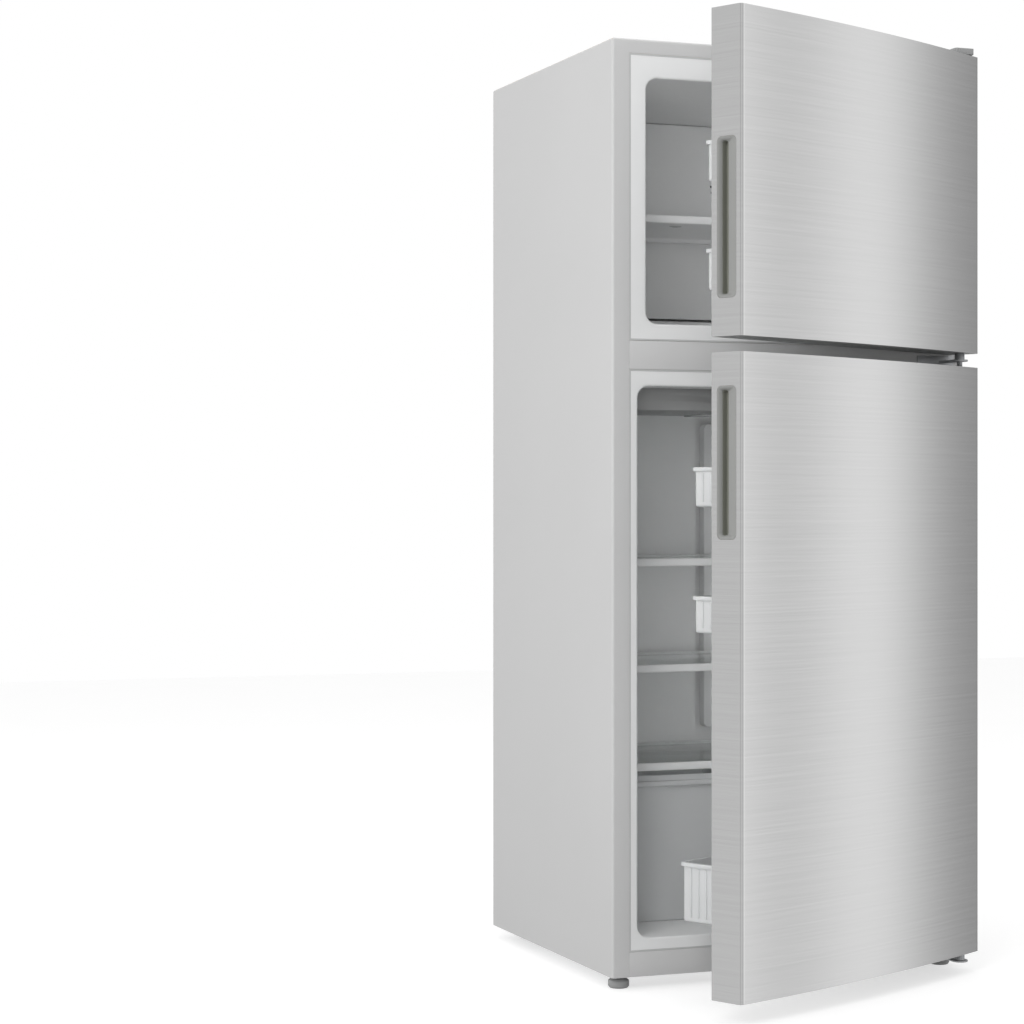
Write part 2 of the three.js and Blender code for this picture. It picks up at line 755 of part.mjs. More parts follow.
function ceilingHousing() {
  const ceiling = fridge.z1 - fitGap;
  const radius = linerRadius - 2;
  const half = fridge.x - 4;
  const rear = housingFront + housingDepth;
  // A trough turned upside down: rounded where it meets the ceiling.
  const shell = (inset, top) => trough(-half + inset, half - inset, -top, -housingBottom - inset,
    radius - inset).map(([x, z]) => [-x, -z]);
  const body = prismY(shell(0, ceiling), housingFront, rear);
  const inside = prismY(rect(-half + radius, half - radius, housingBottom + housingWall, ceiling + 9),
    housingFront + housingWall, rear - housingWall);
  const nose = box(button.x - noseWidth / 2, button.x + noseWidth / 2, noseFront, housingFront + 1,
    housingBottom, button.z + 2 * buttonRadius);
  const window = slab(lensWidth / 2, rear - lensDepth - 20, rear - 20, housingBottom - 1,
    housingBottom + housingWall + 1);
  const across = (x, z, radiusHere, y0, y1) => solid(
    new THREE.CylinderGeometry(radiusHere, radiusHere, y1 - y0, 24).translate(x, (y0 + y1) / 2, z),
  );
  return cut(
    body.subtract(inside).add(nose),
    window,
    across(button.x, button.z, buttonRadius + runGap, noseFront - 1, housingFront + housingWall + 1),
    across(knobPlace.x, knobPlace.z, shaftRadius + runGap, housingFront - 1,
      housingFront + housingWall + 1),
  );
}

function lightLens() {
  const half = lensWidth / 2 - fitGap;
  const rear = housingFront + housingDepth - 20 - fitGap;
  return slab(half, rear - lensDepth + 2 * fitGap, rear, housingBottom - 3, housingBottom + housingWall);
}

// Built with its face at z = 0 and its shaft running along +Z.
function knob() {
  const rib = box(-2.5, 2.5, -knobRadius + 3, knobRadius - 3, -5, 1);
  const disc = turned([
    [0, 0], [knobRadius - 2, 0], [knobRadius, 2], [knobRadius, knobDepth], [0, knobDepth],
  ]);
  return join(disc, rib, bar(shaftRadius, knobDepth - 1, knobDepth + 12));
}

function buildHousing(body, whole) {
  piece(body, 'ceiling_housing', ceilingHousing(), 'trimGrey');
  piece(body, 'light_lens', lightLens(), 'clearPlastic');

  const dial = piece(whole, 'temperature_knob', knob(), 'trimGrey');
  dial.rotation.x = -Math.PI / 2;
  dial.position.set(knobPlace.x, housingFront - runGap - knobDepth, knobPlace.z);

  // Its rear end stays inside the hole when it is pressed all the way.
  const reach = housingFront + housingWall - buttonTravel - rimFront - 1;
  const plunger = piece(whole, 'door_switch_button', bar(buttonRadius, 0, reach), 'shelfWhite');
  plunger.rotation.x = -Math.PI / 2;
  plunger.position.set(button.x, rimFront + 1, button.z);
}

// ---------------------------------------------------------------- cold air parts

// Level slots, one above the other, cut through a panel between y0 and y1.
function levelSlots(count, pitch, x, z, halfWidthAt, y0, y1) {
  return Array.from({ length: count }, (_, i) => {
    const rise = (i - (count - 1) / 2) * pitch;
    const half = halfWidthAt(rise);
    return box(x - half, x + half, y0, y1, z + rise - slotHeight / 2, z + rise + slotHeight / 2);
  });
}

// A fan on the Z axis: a hub with a bore, and pitched blades.
function fan(tipRadius, hubRadius, depth, blades) {
  const wheel = Array.from({ length: blades }, (_, i) => {
    const length = tipRadius - hubRadius + 3;
    const blade = new THREE.BoxGeometry(length, tipRadius * 0.55, 2);
    blade.rotateX(THREE.MathUtils.degToRad(32)).translate(hubRadius - 3 + length / 2, 0, depth / 2);
    return solid(blade.rotateZ((2 * Math.PI * i) / blades));
  });
  return join(bar(hubRadius, 0, depth), ...wheel).subtract(bar(3.5, 4, depth + 1, 12));
}

const freezerFan = { x: freezerFanPlace, y: evaporatorCoverFront + 10, z: freezer.z1 - 120, depth: 16 };

function evaporatorCover() {
  const outline = roundedRect(-freezer.x + 1, freezer.x - 1, freezer.z0 + 1, freezer.z1 - 1, linerRadius - 1);
  const [y0, y1] = [evaporatorCoverFront, evaporatorCoverFront + panelSheet];
  const grille = levelSlots(7, 2 * slotHeight, freezerFan.x, freezerFan.z,
    (rise) => Math.sqrt(freezerFanRadius ** 2 - rise ** 2), y0 - 1, y1 + 1);
  const returnAir = levelSlots(3, 2 * slotHeight, 0, freezer.z0 + 34, () => freezer.x * 0.7, y0 - 1, y1 + 1);
  return cut(prismY(outline, y0, y1), ...grille, ...returnAir);
}

// Upright fins along a level tube bank, as one comb with teeth above and below its spine.
function finnedCoil(x0, x1, y0, y1, z0, z1, fins) {
  const [finSheet, spine] = [1.6, 8];
  const middle = (z0 + z1) / 2;
  const pitch = (x1 - x0 - finSheet) / (fins - 1);
  const tooth = (i, root, edge) => {
    const x = x0 + i * pitch;
    return [[x, root], [x, edge], [x + finSheet, edge], [x + finSheet, root]];
  };
  const order = Array.from({ length: fins }, (_, i) => i);
  const lower = order.flatMap((i) => tooth(i, middle - spine, z0));
  const upper = order.reverse().flatMap((i) => tooth(i, middle + spine, z1).reverse());
  return prismY([...lower, ...upper], y0, y1);
}

// Motor with a shaft towards -Z and two arms at its back, on the Z axis.
function fanMotor(radius, length, shaftLength, armReach) {
  const arms = [0, Math.PI / 2].map((angle) => solid(
    new THREE.BoxGeometry(2 * armReach, 10, 3).translate(0, 0, length - 1.5).rotateZ(angle),
  ));
  return join(bar(radius, 0, length), bar(2.8, -shaftLength, 1, 12), ...arms);
}

function ductCover() {
  const half = ductWidth / 2;
  const [z0, z1] = [crisperCover + 40, housingBottom - 8];
  const [y0, y1] = [linerBack - fitGap - ductDepth, linerBack - fitGap];
  const [x0, x1] = [ductPlace - half, ductPlace + half];
  const shell = box(x0, x1, y0, y1, z0, z1);
  const hollow = box(x0 + panelSheet, x1 - panelSheet, y0 + panelSheet, y1 + 1,
    z0 + panelSheet, z1 - panelSheet);
  const vents = [lowerShelf, upperShelf].flatMap((shelf) => levelSlots(
    4, 2 * slotHeight, ductPlace, shelf + shelfHeight + 60, () => half * 0.6, y0 - 1, y0 + panelSheet + 1,
  ));
  return cut(shell, hollow, ...vents);
}

function buildColdAir(body, whole) {
  piece(body, 'evaporator_cover', evaporatorCover(), 'linerWhite');
  const evaporatorLow = freezer.z0 + evaporatorRise;
  piece(body, 'evaporator', finnedCoil(-evaporatorWidth / 2, evaporatorWidth / 2, evaporatorCoverFront + 12,
    linerBack - 6, evaporatorLow, evaporatorLow + evaporatorHeight, 19), 'aluminium');
  piece(body, 'air_duct_cover', ductCover(), 'linerWhite');

  const motorFront = freezerFan.y + freezerFan.depth + 3;
  const motor = piece(body, 'evaporator_fan_motor',
    fanMotor(20, linerBack - fitGap - motorFront, freezerFan.depth / 2, 60), 'blackPlastic');
  motor.rotation.x = -Math.PI / 2;
  motor.position.set(freezerFan.x, motorFront, freezerFan.z);

  const wheel = piece(whole, 'evaporator_fan', fan(freezerFanRadius - 4, 13, freezerFan.depth, 5),
    'blackPlastic');
  wheel.rotation.x = -Math.PI / 2;
  wheel.position.set(freezerFan.x, freezerFan.y, freezerFan.z);
}

// ---------------------------------------------------------------- machine compartment

const machineMiddle = (machineFront + caseDepth - coverSheet) / 2;
const machineFan = { x: machineFanPlace, z: (plateTop + machineTop) / 2, depth: 22 };
const roller = { x: side - rollerInset, y: caseDepth - rollerFromRear, z: rollerRadius };

function compressorPlate() {
  const [z0, z1] = [plateTop - railSheet, plateTop];
  const plate = slab(insideX - 1, machineFront + 2, caseDepth - coverSheet - 2, z0, z1);
  const earGap = rollerWidth / 2 + runGap;
  const ears = [-1, 1].flatMap((hand) => [-1, 1].map((face) => {
    const inner = hand * roller.x + face * earGap;
    const outer = inner + face * railSheet;
    return box(Math.min(inner, outer), Math.max(inner, outer), roller.y - 14, roller.y + 14,
      roller.z - 8, z0 + 1);
  }));
  const axleHole = solid(
    new THREE.CylinderGeometry(axleRadius + runGap, axleRadius + runGap, caseWidth, 16)
      .rotateZ(Math.PI / 2).translate(0, roller.y, roller.z),
  );
  return join(plate, ...ears).subtract(axleHole);
}

// Standing on its mounting feet, with z = 0 on the compressor plate.
function compressor() {
  const pot = turned([[0, 14], [52, 14], [66, 24], [72, 44], [72, 92], [66, 118], [48, 136], [0, 144]], 28);
  const rail = box(-80, 80, -58, 58, 10, 14);
  const feet = [-66, 66].flatMap((x) => [-46, 46].map((y) => post(x, y, 9, 0, 11, 12)));
  const terminals = box(-24, 24, -80, -60, 46, 100);
  return join(pot, rail, terminals, ...feet);
}

// A square plate with a round throat and a motor carried on a spider behind it, on the Z axis.
function fanShroud(halfWidth, halfHeight) {
  const plate = box(-halfHeight, halfHeight, -halfWidth, halfWidth, 0, panelSheet);
  const throat = bar(machineFanRadius + 4, -1, panelSheet + 1, 32);
  const spider = box(-5, 5, 6 - halfWidth, halfWidth - 6, panelSheet - 1, panelSheet + 3);
  return join(plate.subtract(throat), spider, bar(18, panelSheet, 40), bar(2.8, -12, panelSheet + 1, 12));
}

function dripTray(x0, x1) {
  const [y0, y1] = [machineFront + 12, caseDepth - coverSheet - 12];
  const [z0, z1] = [plateTop + fitGap, plateTop + 26];
  return prismZ(roundedRect(x0, x1, y0, y1, 10), z0, z1).subtract(
    prismZ(roundedRect(x0 + linerWall, x1 - linerWall, y0 + linerWall, y1 - linerWall, 8),
      z0 + linerWall, z1 + 1),
  );
}

function machineCover() {
  const [y0, y1] = [caseDepth - coverSheet, caseDepth];
  const [z0, z1] = [plateTop + fitGap, machineTop - fitGap];
  const slots = [-0.62, 0, 0.62].flatMap((share) => levelSlots(
    7, 2.5 * slotHeight, share * insideX, (z0 + z1) / 2, () => insideX * 0.24, y0 - 1, y1 + 1,
  ));
  return cut(slab(insideX, y0, y1, z0, z1), ...slots);
}

function rollerWheel() {
  const wheel = turned([
    [0, -rollerWidth / 2], [rollerRadius - 2, -rollerWidth / 2], [rollerRadius, 2 - rollerWidth / 2],
    [rollerRadius, rollerWidth / 2 - 2], [rollerRadius - 2, rollerWidth / 2], [0, rollerWidth / 2],
  ]);
  const half = rollerWidth / 2 + 2 * railSheet + 1;
  return wheel.add(bar(axleRadius, -half, half, 16));
}

function levellingFoot() {
  const pad = turned([
    [0, 0], [footRadius - 3, 0], [footRadius, 4], [footRadius, footPad - 3], [footRadius - 4, footPad],
    [0, footPad],
  ]);
  return pad.add(bar(studRadius, footPad - 1, studTop, 16));
}

function buildMachine(body, whole) {
  piece(body, 'compressor_plate', compressorPlate(), 'galvanised');
  const pot = piece(body, 'compressor', compressor(), 'blackPaint');
  pot.position.set(compressorPlace, machineMiddle, plateTop + fitGap);

  piece(body, 'condenser_coil', finnedCoil(...condenserEnds, machineFront + 30, caseDepth - 40,
    plateTop + 34, machineTop - 12, 20), 'aluminium');
  piece(body, 'drip_tray', dripTray(...trayEnds), 'blackPlastic');
  piece(body, 'machine_cover', machineCover(), 'galvanised');

  const shroud = piece(body, 'condenser_fan_shroud',
    fanShroud(machineDepth / 2 - 12, (machineTop - plateTop) / 2 - 4), 'blackPlastic');
  shroud.rotation.y = Math.PI / 2;
  shroud.position.set(machineFan.x, machineMiddle, machineFan.z);

  const wheel = piece(whole, 'condenser_fan', fan(machineFanRadius, 15, machineFan.depth, 5), 'blackPlastic');
  wheel.rotation.y = Math.PI / 2;
  wheel.position.set(machineFan.x - machineFan.depth - 2, machineMiddle, machineFan.z);

  for (const [hand, label] of [[-1, 'left'], [1, 'right']]) {
    const turning = piece(whole, `roller_${label}`, rollerWheel(), 'blackPlastic');
    turning.rotation.y = Math.PI / 2;
    turning.position.set(hand * roller.x, roller.y, roller.z);
    const screw = piece(whole, `foot_${label}`, levellingFoot(), 'trimGrey');
    screw.position.set(hand * foot.x, foot.y, 0);
  }
}

// ---------------------------------------------------------------- the whole refrigerator

// The foremost point of an open door, for centring the object front to back.
const foremost = Math.min(...doorOutline(0, doorBack).map(
  ([x, y]) => hinge.y + (x - hinge.x) * Math.sin(doorAjar) + (y - hinge.y) * Math.cos(doorAjar),
));

const refrigerator = new THREE.Group();
refrigerator.name = 'top_freezer_refrigerator';
refrigerator.position.y = -(caseDepth + foremost) / 2;

buildCase(refrigerator);
buildHinges(refrigerator);
buildShelves(refrigerator, refrigerator);
buildHousing(refrigerator, refrigerator);
buildColdAir(refrigerator, refrigerator);
buildMachine(refrigerator, refrigerator);
buildDoor(refrigerator, 'freezer', freezer, freezerDoor, freezerPocket, freezerBins);
buildDoor(refrigerator, 'fridge', fridge, fridgeDoor, fridgePocket, fridgeBins);

export default refrigerator;
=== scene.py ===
"""A top freezer refrigerator with both doors ajar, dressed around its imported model."""

import json
import math
from contextlib import contextmanager

import bmesh
import bpy
from mathutils import Matrix, Vector


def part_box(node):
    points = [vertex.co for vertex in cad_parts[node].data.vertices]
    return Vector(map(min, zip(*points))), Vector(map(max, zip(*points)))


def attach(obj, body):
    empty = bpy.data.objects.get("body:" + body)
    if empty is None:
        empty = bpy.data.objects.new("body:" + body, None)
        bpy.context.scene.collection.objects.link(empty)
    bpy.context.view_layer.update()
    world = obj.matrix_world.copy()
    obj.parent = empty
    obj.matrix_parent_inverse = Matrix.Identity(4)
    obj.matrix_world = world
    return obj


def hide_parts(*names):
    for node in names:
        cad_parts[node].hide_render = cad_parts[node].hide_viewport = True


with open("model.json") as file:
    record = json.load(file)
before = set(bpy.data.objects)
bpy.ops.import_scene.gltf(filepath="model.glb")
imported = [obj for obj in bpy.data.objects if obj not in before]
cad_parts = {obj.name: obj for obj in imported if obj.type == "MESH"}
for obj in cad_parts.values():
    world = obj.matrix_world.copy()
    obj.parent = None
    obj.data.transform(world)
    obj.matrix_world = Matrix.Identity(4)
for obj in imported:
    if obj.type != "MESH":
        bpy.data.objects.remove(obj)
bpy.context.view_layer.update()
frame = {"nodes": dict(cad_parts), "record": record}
mm = 0.001

# ------------------------------------------------------------------ places taken from the frame

BODIES = frame["record"]["behaviour"]["bodies"]
BODY_OF = {node: body for body, nodes in BODIES.items() for node in nodes}
JOINTS = {joint["name"]: joint for joint in frame["record"]["behaviour"]["joints"]}

CASE_LO, CASE_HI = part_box("case_wrapper")
SIDE = CASE_HI.x
FRONT = CASE_LO.y
SWING = JOINTS["fridge_door_swing"]
HINGE = Vector(SWING["pos_m"])
AJAR = -math.radians(SWING["range_deg"][0])
OPENED = Matrix.Translation(HINGE) @ Matrix.Rotation(AJAR, 4, "Z") @ Matrix.Translation(-HINGE)
CLOSED = OPENED.inverted()


def closed_box(node):
    """The box of a door's node as it lies with the door shut."""
    points = [CLOSED @ v.co for v in frame["nodes"][node].data.vertices]
    low = Vector([min(p[i] for p in points) for i in range(3)])
    high = Vector([max(p[i] for p in points) for i in range(3)])
    return low, high


# ------------------------------------------------------------------ camera, floor and light

CAMERA_OFFSET = Vector((-2.070, -4.053, 0))  # from the middle of the case's front, on the floor
CAMERA_HEIGHT = 0.8545
CAMERA_TURN = math.radians(20.7)
CAMERA_LENS = 87.86
CAMERA_SHIFT = -0.006


def add_camera():
    bpy.ops.object.camera_add(
        location=Vector((0, FRONT, CAMERA_HEIGHT)) + CAMERA_OFFSET,
        rotation=(math.pi / 2, 0, -CAMERA_TURN),
    )
    camera = bpy.context.object
    camera.data.lens = CAMERA_LENS
    camera.data.shift_y = CAMERA_SHIFT
    bpy.context.scene.camera = camera


def add_light(name, place, aim, size, watts, seen=True):
    bpy.ops.object.light_add(type="AREA", location=place)
    light = bpy.context.object
    light.name = name
    light.data.shape = "RECTANGLE"
    light.data.size, light.data.size_y = size
    light.data.energy = watts
    light.visible_camera = light.visible_glossy = seen
    light.rotation_euler = (Vector(aim) - Vector(place)).to_track_quat("-Z", "Y").to_euler()


# ------------------------------------------------------------------ shader arithmetic


class Wire:
    """A shader socket that takes part in ordinary arithmetic."""

    def __init__(self, shader, socket):
        self.shader = shader
        self.socket = socket

    def math(self, operation, *others):
        return self.shader.node("ShaderNodeMath", {"operation": operation}, self, *others)

    def __add__(self, other):
        return self.math("ADD", other)

    def __sub__(self, other):
        return self.math("SUBTRACT", other)

    def __mul__(self, other):
        return self.math("MULTIPLY", other)

    def __truediv__(self, other):
        return self.math("DIVIDE", other)

    def __rsub__(self, other):
        return self.shader.node("ShaderNodeMath", {"operation": "SUBTRACT"}, other, self)

    __radd__ = __add__
    __rmul__ = __mul__

    def over(self, low, high):
        """This value mapped so that low gives 0 and high gives 1, held between them."""
        return self.shader.node("ShaderNodeMapRange", {}, self, low, high, 0.0, 1.0)


class Nodes:
    """A node tree, built up in few words."""

    def __init__(self, owner):
        owner.use_nodes = True
        self.tree = owner.node_tree

    def node(self, kind, settings, *values, out=0, **named):
        node = self.tree.nodes.new(kind)
        for key, value in settings.items():
            setattr(node, key, value)
        for key, value in [*enumerate(values), *named.items()]:
            self.feed(node.inputs[key], value)
        return Wire(self, node.outputs[out])

    def feed(self, socket, value):
        if isinstance(value, Wire):
            self.tree.links.new(value.socket, socket)
        else:
            socket.default_value = value

    def place(self, scale=(1, 1, 1), turn=0.0):
        """Object coordinates, turned about Z and then stretched."""
        spot = self.node("ShaderNodeTexCoord", {}, out="Object")
        turned = self.node("ShaderNodeMapping", {}, Vector=spot, Rotation=(0, 0, turn))
        return self.node("ShaderNodeMapping", {}, Vector=turned, Scale=scale)

    def noise(self, spot, scale, detail=3.0, roughness=0.55):
        return self.node("ShaderNodeTexNoise", {}, Vector=spot, Scale=scale, Detail=detail,
                         Roughness=roughness)

    def blend(self, amount, first, second):
        """Two colours mixed by an amount from 0 to 1."""
        mix = self.tree.nodes.new("ShaderNodeMix")
        mix.data_type = "RGBA"
        colours = [s for s in mix.inputs if s.type == "RGBA"]
        self.feed(mix.inputs[0], amount)
        self.feed(colours[0], first if isinstance(first, Wire) else (*first, 1))
        self.feed(colours[1], second if isinstance(second, Wire) else (*second, 1))
        return Wire(self, next(s for s in mix.outputs if s.type == "RGBA"))


class Shader(Nodes):
    """A material's node tree with its principled surface."""

    def __init__(self, name, **surface):
        self.material = bpy.data.materials.new(name)
        super().__init__(self.material)
        self.surface = self.tree.nodes["Principled BSDF"]
        self.set(**surface)

    def set(self, **surface):
        for key, value in surface.items():
            self.feed(self.surface.inputs[key.replace("_", " ")], value)

    def bump(self, height, depth, strength=1.0):
        self.set(Normal=self.node("ShaderNodeBump", {}, Height=height, Distance=depth,
                                  Strength=strength))


# ------------------------------------------------------------------ materials


def painted_steel():
    """Light grey enamel with a fine orange peel."""
    paint = Shader("case_paint", Metallic=0.0, Specular_IOR_Level=0.45)
    cloud = paint.noise(paint.place(), 3.0, 2.0)
    peel = paint.noise(paint.place(), 420.0, 2.0)
    paint.set(Base_Color=paint.blend(cloud, (0.54, 0.54, 0.54), (0.57, 0.57, 0.57)))
    paint.set(Roughness=0.36 + 0.12 * cloud)
    paint.bump(peel, 0.00025, 0.35)
    return paint.material


def brushed_steel(turn):
    """Stainless sheet brushed level across the door: short fine scratches and long soft streaks."""
    steel = Shader("brushed_steel", Metallic=1.0, Anisotropic=0.9, Anisotropic_Rotation=0.25)
    fine = steel.noise(steel.place((6, 6, 1900), turn), 1.0, 3.0, 0.7)
    medium = steel.noise(steel.place((2.2, 2.2, 340), turn), 1.0, 3.0, 0.6)
    grain = (0.6 * fine + 0.4 * medium).over(0.33, 0.67)
    steel.set(Base_Color=steel.blend(grain, (0.70, 0.70, 0.70), (0.78, 0.78, 0.78)))
    steel.set(Roughness=0.19 + 0.06 * grain)
    steel.bump(fine, 0.00002, 0.3)
    return steel.material


def galvanised_steel():
    """Zinc-coated sheet with its flaky spangle."""
    zinc = Shader("galvanised", Metallic=0.85)
    flake = zinc.node("ShaderNodeTexVoronoi", {}, Vector=zinc.place(), Scale=70.0, out="Color")
    tone = zinc.node("ShaderNodeSeparateColor", {}, flake)
    cloud = zinc.noise(zinc.place(), 14.0)
    zinc.set(Base_Color=zinc.blend(0.7 * tone + 0.3 * cloud, (0.36, 0.37, 0.38), (0.5, 0.51, 0.52)))
    zinc.set(Roughness=0.34 + 0.2 * tone)
    zinc.bump(tone, 0.0001, 0.2)
    return zinc.material


def moulded_plastic(name, dark, light, roughness, grain, depth):
    """A moulded plastic with a fine surface grain and slightly uneven gloss."""
    plastic = Shader(name, Specular_IOR_Level=0.5)
    cloud = plastic.noise(plastic.place(), 9.0, 2.0)
    spark = plastic.noise(plastic.place(), grain, 2.0)
    plastic.set(Base_Color=plastic.blend(cloud, dark, light))
    plastic.set(Roughness=roughness + 0.1 * cloud)
    plastic.bump(spark, depth, 0.3)
    return plastic.material


def shelf_glass():
    """Toughened soda glass, faintly green, with a trace of handling haze."""
    glass = Shader("shelf_glass", Transmission_Weight=1.0, IOR=1.5, Alpha=0.4)
    haze = glass.noise(glass.place(), 7.0, 3.0)
    glass.set(Base_Color=glass.blend(haze, (0.86, 0.94, 0.91), (0.92, 0.97, 0.95)))
    glass.set(Roughness=0.02 + 0.05 * haze)
    return glass.material


def clear_plastic():
    """Clear styrene with a light frost, as crispers and door bins have."""
    clear = Shader("clear_plastic", Transmission_Weight=0.45, IOR=1.45)
    cloud = clear.noise(clear.place(), 10.0, 2.0)
    clear.set(Base_Color=clear.blend(cloud, (0.9, 0.915, 0.92), (0.95, 0.96, 0.965)))
    clear.set(Roughness=0.16 + 0.12 * cloud)
    return clear.material


def soft_rubber():
    rubber = Shader("gasket_grey", Specular_IOR_Level=0.35, Sheen_Weight=0.15)
    dust = rubber.noise(rubber.place(), 30.0, 3.0)
    rubber.set(Base_Color=rubber.blend(dust, (0.47, 0.475, 0.475), (0.56, 0.56, 0.56)))
    rubber.set(Roughness=0.6 + 0.2 * dust)
    rubber.bump(rubber.noise(rubber.place(), 600.0), 0.0001, 0.4)
    return rubber.material


def cast_aluminium():
    fins = Shader("aluminium", Metallic=0.9)
    cloud = fins.noise(fins.place(), 40.0, 3.0)
    fins.set(Base_Color=fins.blend(cloud, (0.5, 0.51, 0.52), (0.62, 0.63, 0.64)))
    fins.set(Roughness=0.35 + 0.2 * cloud)
    return fins.material


PAST = 0.01  # how far a cutting block runs past what it cuts

FINISHES = {
    "case_paint": painted_steel(),
    "brushed_steel": brushed_steel(-AJAR),
    "galvanised": galvanised_steel(),
    "gasket_grey": soft_rubber(),
    "shelf_glass": shelf_glass(),
    "clear_plastic": clear_plastic(),
    "aluminium": cast_aluminium(),
}
# Moulded finishes: darker tone, lighter tone, roughness, grains in a metre, depth of the grain.
for finish_name, moulding in {
    "liner_white": ((0.78, 0.785, 0.785), (0.82, 0.825, 0.825), 0.3, 700, 0.0001),
    "trim_grey": ((0.30, 0.303, 0.303), (0.34, 0.343, 0.343), 0.4, 1400, 0.0002),
    "shelf_white": ((0.84, 0.845, 0.845), (0.88, 0.885, 0.885), 0.25, 900, 0.0001),
    "black_plastic": ((0.018, 0.018, 0.019), (0.03, 0.03, 0.03), 0.45, 1300, 0.0003),
    "black_paint": ((0.01, 0.01, 0.011), (0.016, 0.016, 0.017), 0.28, 500, 0.0002),
    "foam": ((0.6, 0.47, 0.2), (0.74, 0.6, 0.3), 0.8, 300, 0.001),
    # The slot lining's dark, slightly warm grey is painted shade: it stands in for the shade deep inside the
    # finger slot.
    "finger_slot": ((0.19, 0.195, 0.165), (0.22, 0.225, 0.195), 0.55, 1200, 0.0002),
    "screw_zinc": ((0.42, 0.42, 0.40), (0.55, 0.55, 0.53), 0.3, 900, 0.0001),
    "handle_cup": ((0.25, 0.253, 0.245), (0.28, 0.283, 0.275), 0.4, 1400, 0.0002),
}.items():
    FINISHES[finish_name] = moulded_plastic(finish_name, *moulding)

# ------------------------------------------------------------------ modelling by hand, in code


def only(*pieces):
    """Selects these pieces and nothing else, with the first one active."""
    bpy.ops.object.select_all(action="DESELECT")
    for piece in pieces:
        piece.select_set(True)
    bpy.context.view_layer.objects.active = pieces[0]


@contextmanager
def editing(piece, kind):
    """Edit mode on one piece with nothing selected; kind is VERT, EDGE or FACE."""
    only(piece)
    bpy.ops.object.mode_set(mode="EDIT")
    bpy.ops.mesh.select_mode(type=kind)
    bpy.ops.mesh.select_all(action="DESELECT")
    yield
    bpy.ops.object.mode_set(mode="OBJECT")


def pick(kind, test):
    """In edit mode, selects the verts, edges or faces that pass a test."""
    data = bpy.context.edit_object.data
    mesh = bmesh.from_edit_mesh(data)
    for part in getattr(mesh, kind):
        if test(part):
            part.select_set(True)
    bmesh.update_edit_mesh(data)


def along(axis):
    """A test for edges that run along an axis, 0 to 2."""
    def runs(edge):
        way = (edge.verts[1].co - edge.verts[0].co).normalized()
        return abs(way[axis]) > 0.999
    return runs


def facing(axis, sign):
    """A test for faces that look along an axis."""
    return lambda face: face.normal[axis] * sign > 0.9


def block(name, low, high):
    low, high = Vector(low), Vector(high)
    bpy.ops.object.select_all(action="DESELECT")
    bpy.ops.mesh.primitive_cube_add(size=1, location=(low + high) / 2)
    piece = bpy.context.object
    piece.name = name
    piece.scale = high - low
    bpy.ops.object.transform_apply(location=True, rotation=True, scale=True)
    return piece


def rounded_block(name, low, high, axis, radius, steps=8):
    """A block whose four edges along one axis are rounded."""
    piece = block(name, low, high)
    with editing(piece, "EDGE"):
        pick("edges", along(axis))
        bpy.ops.mesh.bevel(offset=radius, segments=steps, affect="EDGES")
    return piece


def smooth(piece):
    """Shades a piece smooth but for its real corners."""
    only(piece)
    bpy.ops.object.shade_smooth_by_angle(angle=math.radians(32))
    return piece


def combine(piece, other, how):
    only(piece)
    step = piece.modifiers.new("combine", "BOOLEAN")
    step.operation = how
    step.solver = "EXACT"
    step.object = other
    bpy.ops.object.modifier_apply(modifier=step.name)
    bpy.data.objects.remove(other)
    return piece


def ease(piece, width, steps=2, angle=38):
    """Rounds every sharp edge by a small width and smooths what is left."""
    only(piece)
    step = piece.modifiers.new("ease", "BEVEL")
    step.width = width
    step.segments = steps
    step.limit_method = "ANGLE"
    step.angle_limit = math.radians(angle)
    step.miter_outer = "MITER_ARC"
    bpy.ops.object.modifier_apply(modifier=step.name)
    return smooth(piece)


def thicken(piece, wall):
    """Gives an open shell its wall, on the inside of its faces."""
    only(piece)
    step = piece.modifiers.new("wall", "SOLIDIFY")
    step.thickness = wall
    step.offset = -1
    step.use_even_offset = True
    bpy.ops.object.modifier_apply(modifier=step.name)
    return piece


def gather(name, *pieces):
    """Joins pieces into one object."""
    only(*pieces)
    if len(pieces) > 1:
        bpy.ops.object.join()
    piece = bpy.context.object
    piece.name = name
    return piece


def open_up(piece):
    """Turns a door piece, modelled shut, to where the door stands ajar."""
    only(piece)
    piece.matrix_world = OPENED
    bpy.ops.object.transform_apply(location=True, rotation=True, scale=True)
    return piece


def finish(piece, body, slot, *nodes, look=None):
    """Gives a piece its material and its body, and hides the CAD nodes it stands for."""
    piece.data.materials.clear()
    piece.data.materials.append(FINISHES[look or slot])
    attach(piece, body)
    if nodes:
        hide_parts(*nodes)
    return piece


def refined(node, width, slot, steps=2):
    """A copy of a CAD node with its facets merged and its edges eased."""
    source = frame["nodes"][node]
    piece = source.copy()
    piece.data = source.data.copy()
    piece.parent = None
    bpy.context.collection.objects.link(piece)
    piece.name = node + "_fine"
    piece.matrix_world = source.matrix_world
    only(piece)
    bpy.ops.object.transform_apply(location=True, rotation=True, scale=True)
    with editing(piece, "VERT"):
        bpy.ops.mesh.select_all(action="SELECT")
        bpy.ops.mesh.remove_doubles(threshold=0.00001)
        bpy.ops.mesh.dissolve_limited(angle_limit=math.radians(1.0))
    if width:
        ease(piece, width, steps)
    else:
        bpy.ops.object.shade_smooth_by_angle(angle=math.radians(32))
    return finish(piece, BODY_OF[node], slot, node)


# ------------------------------------------------------------------ the case

SIDE_FLANGE = 32.5 * mm
TOP_FLANGE = 25.5 * mm


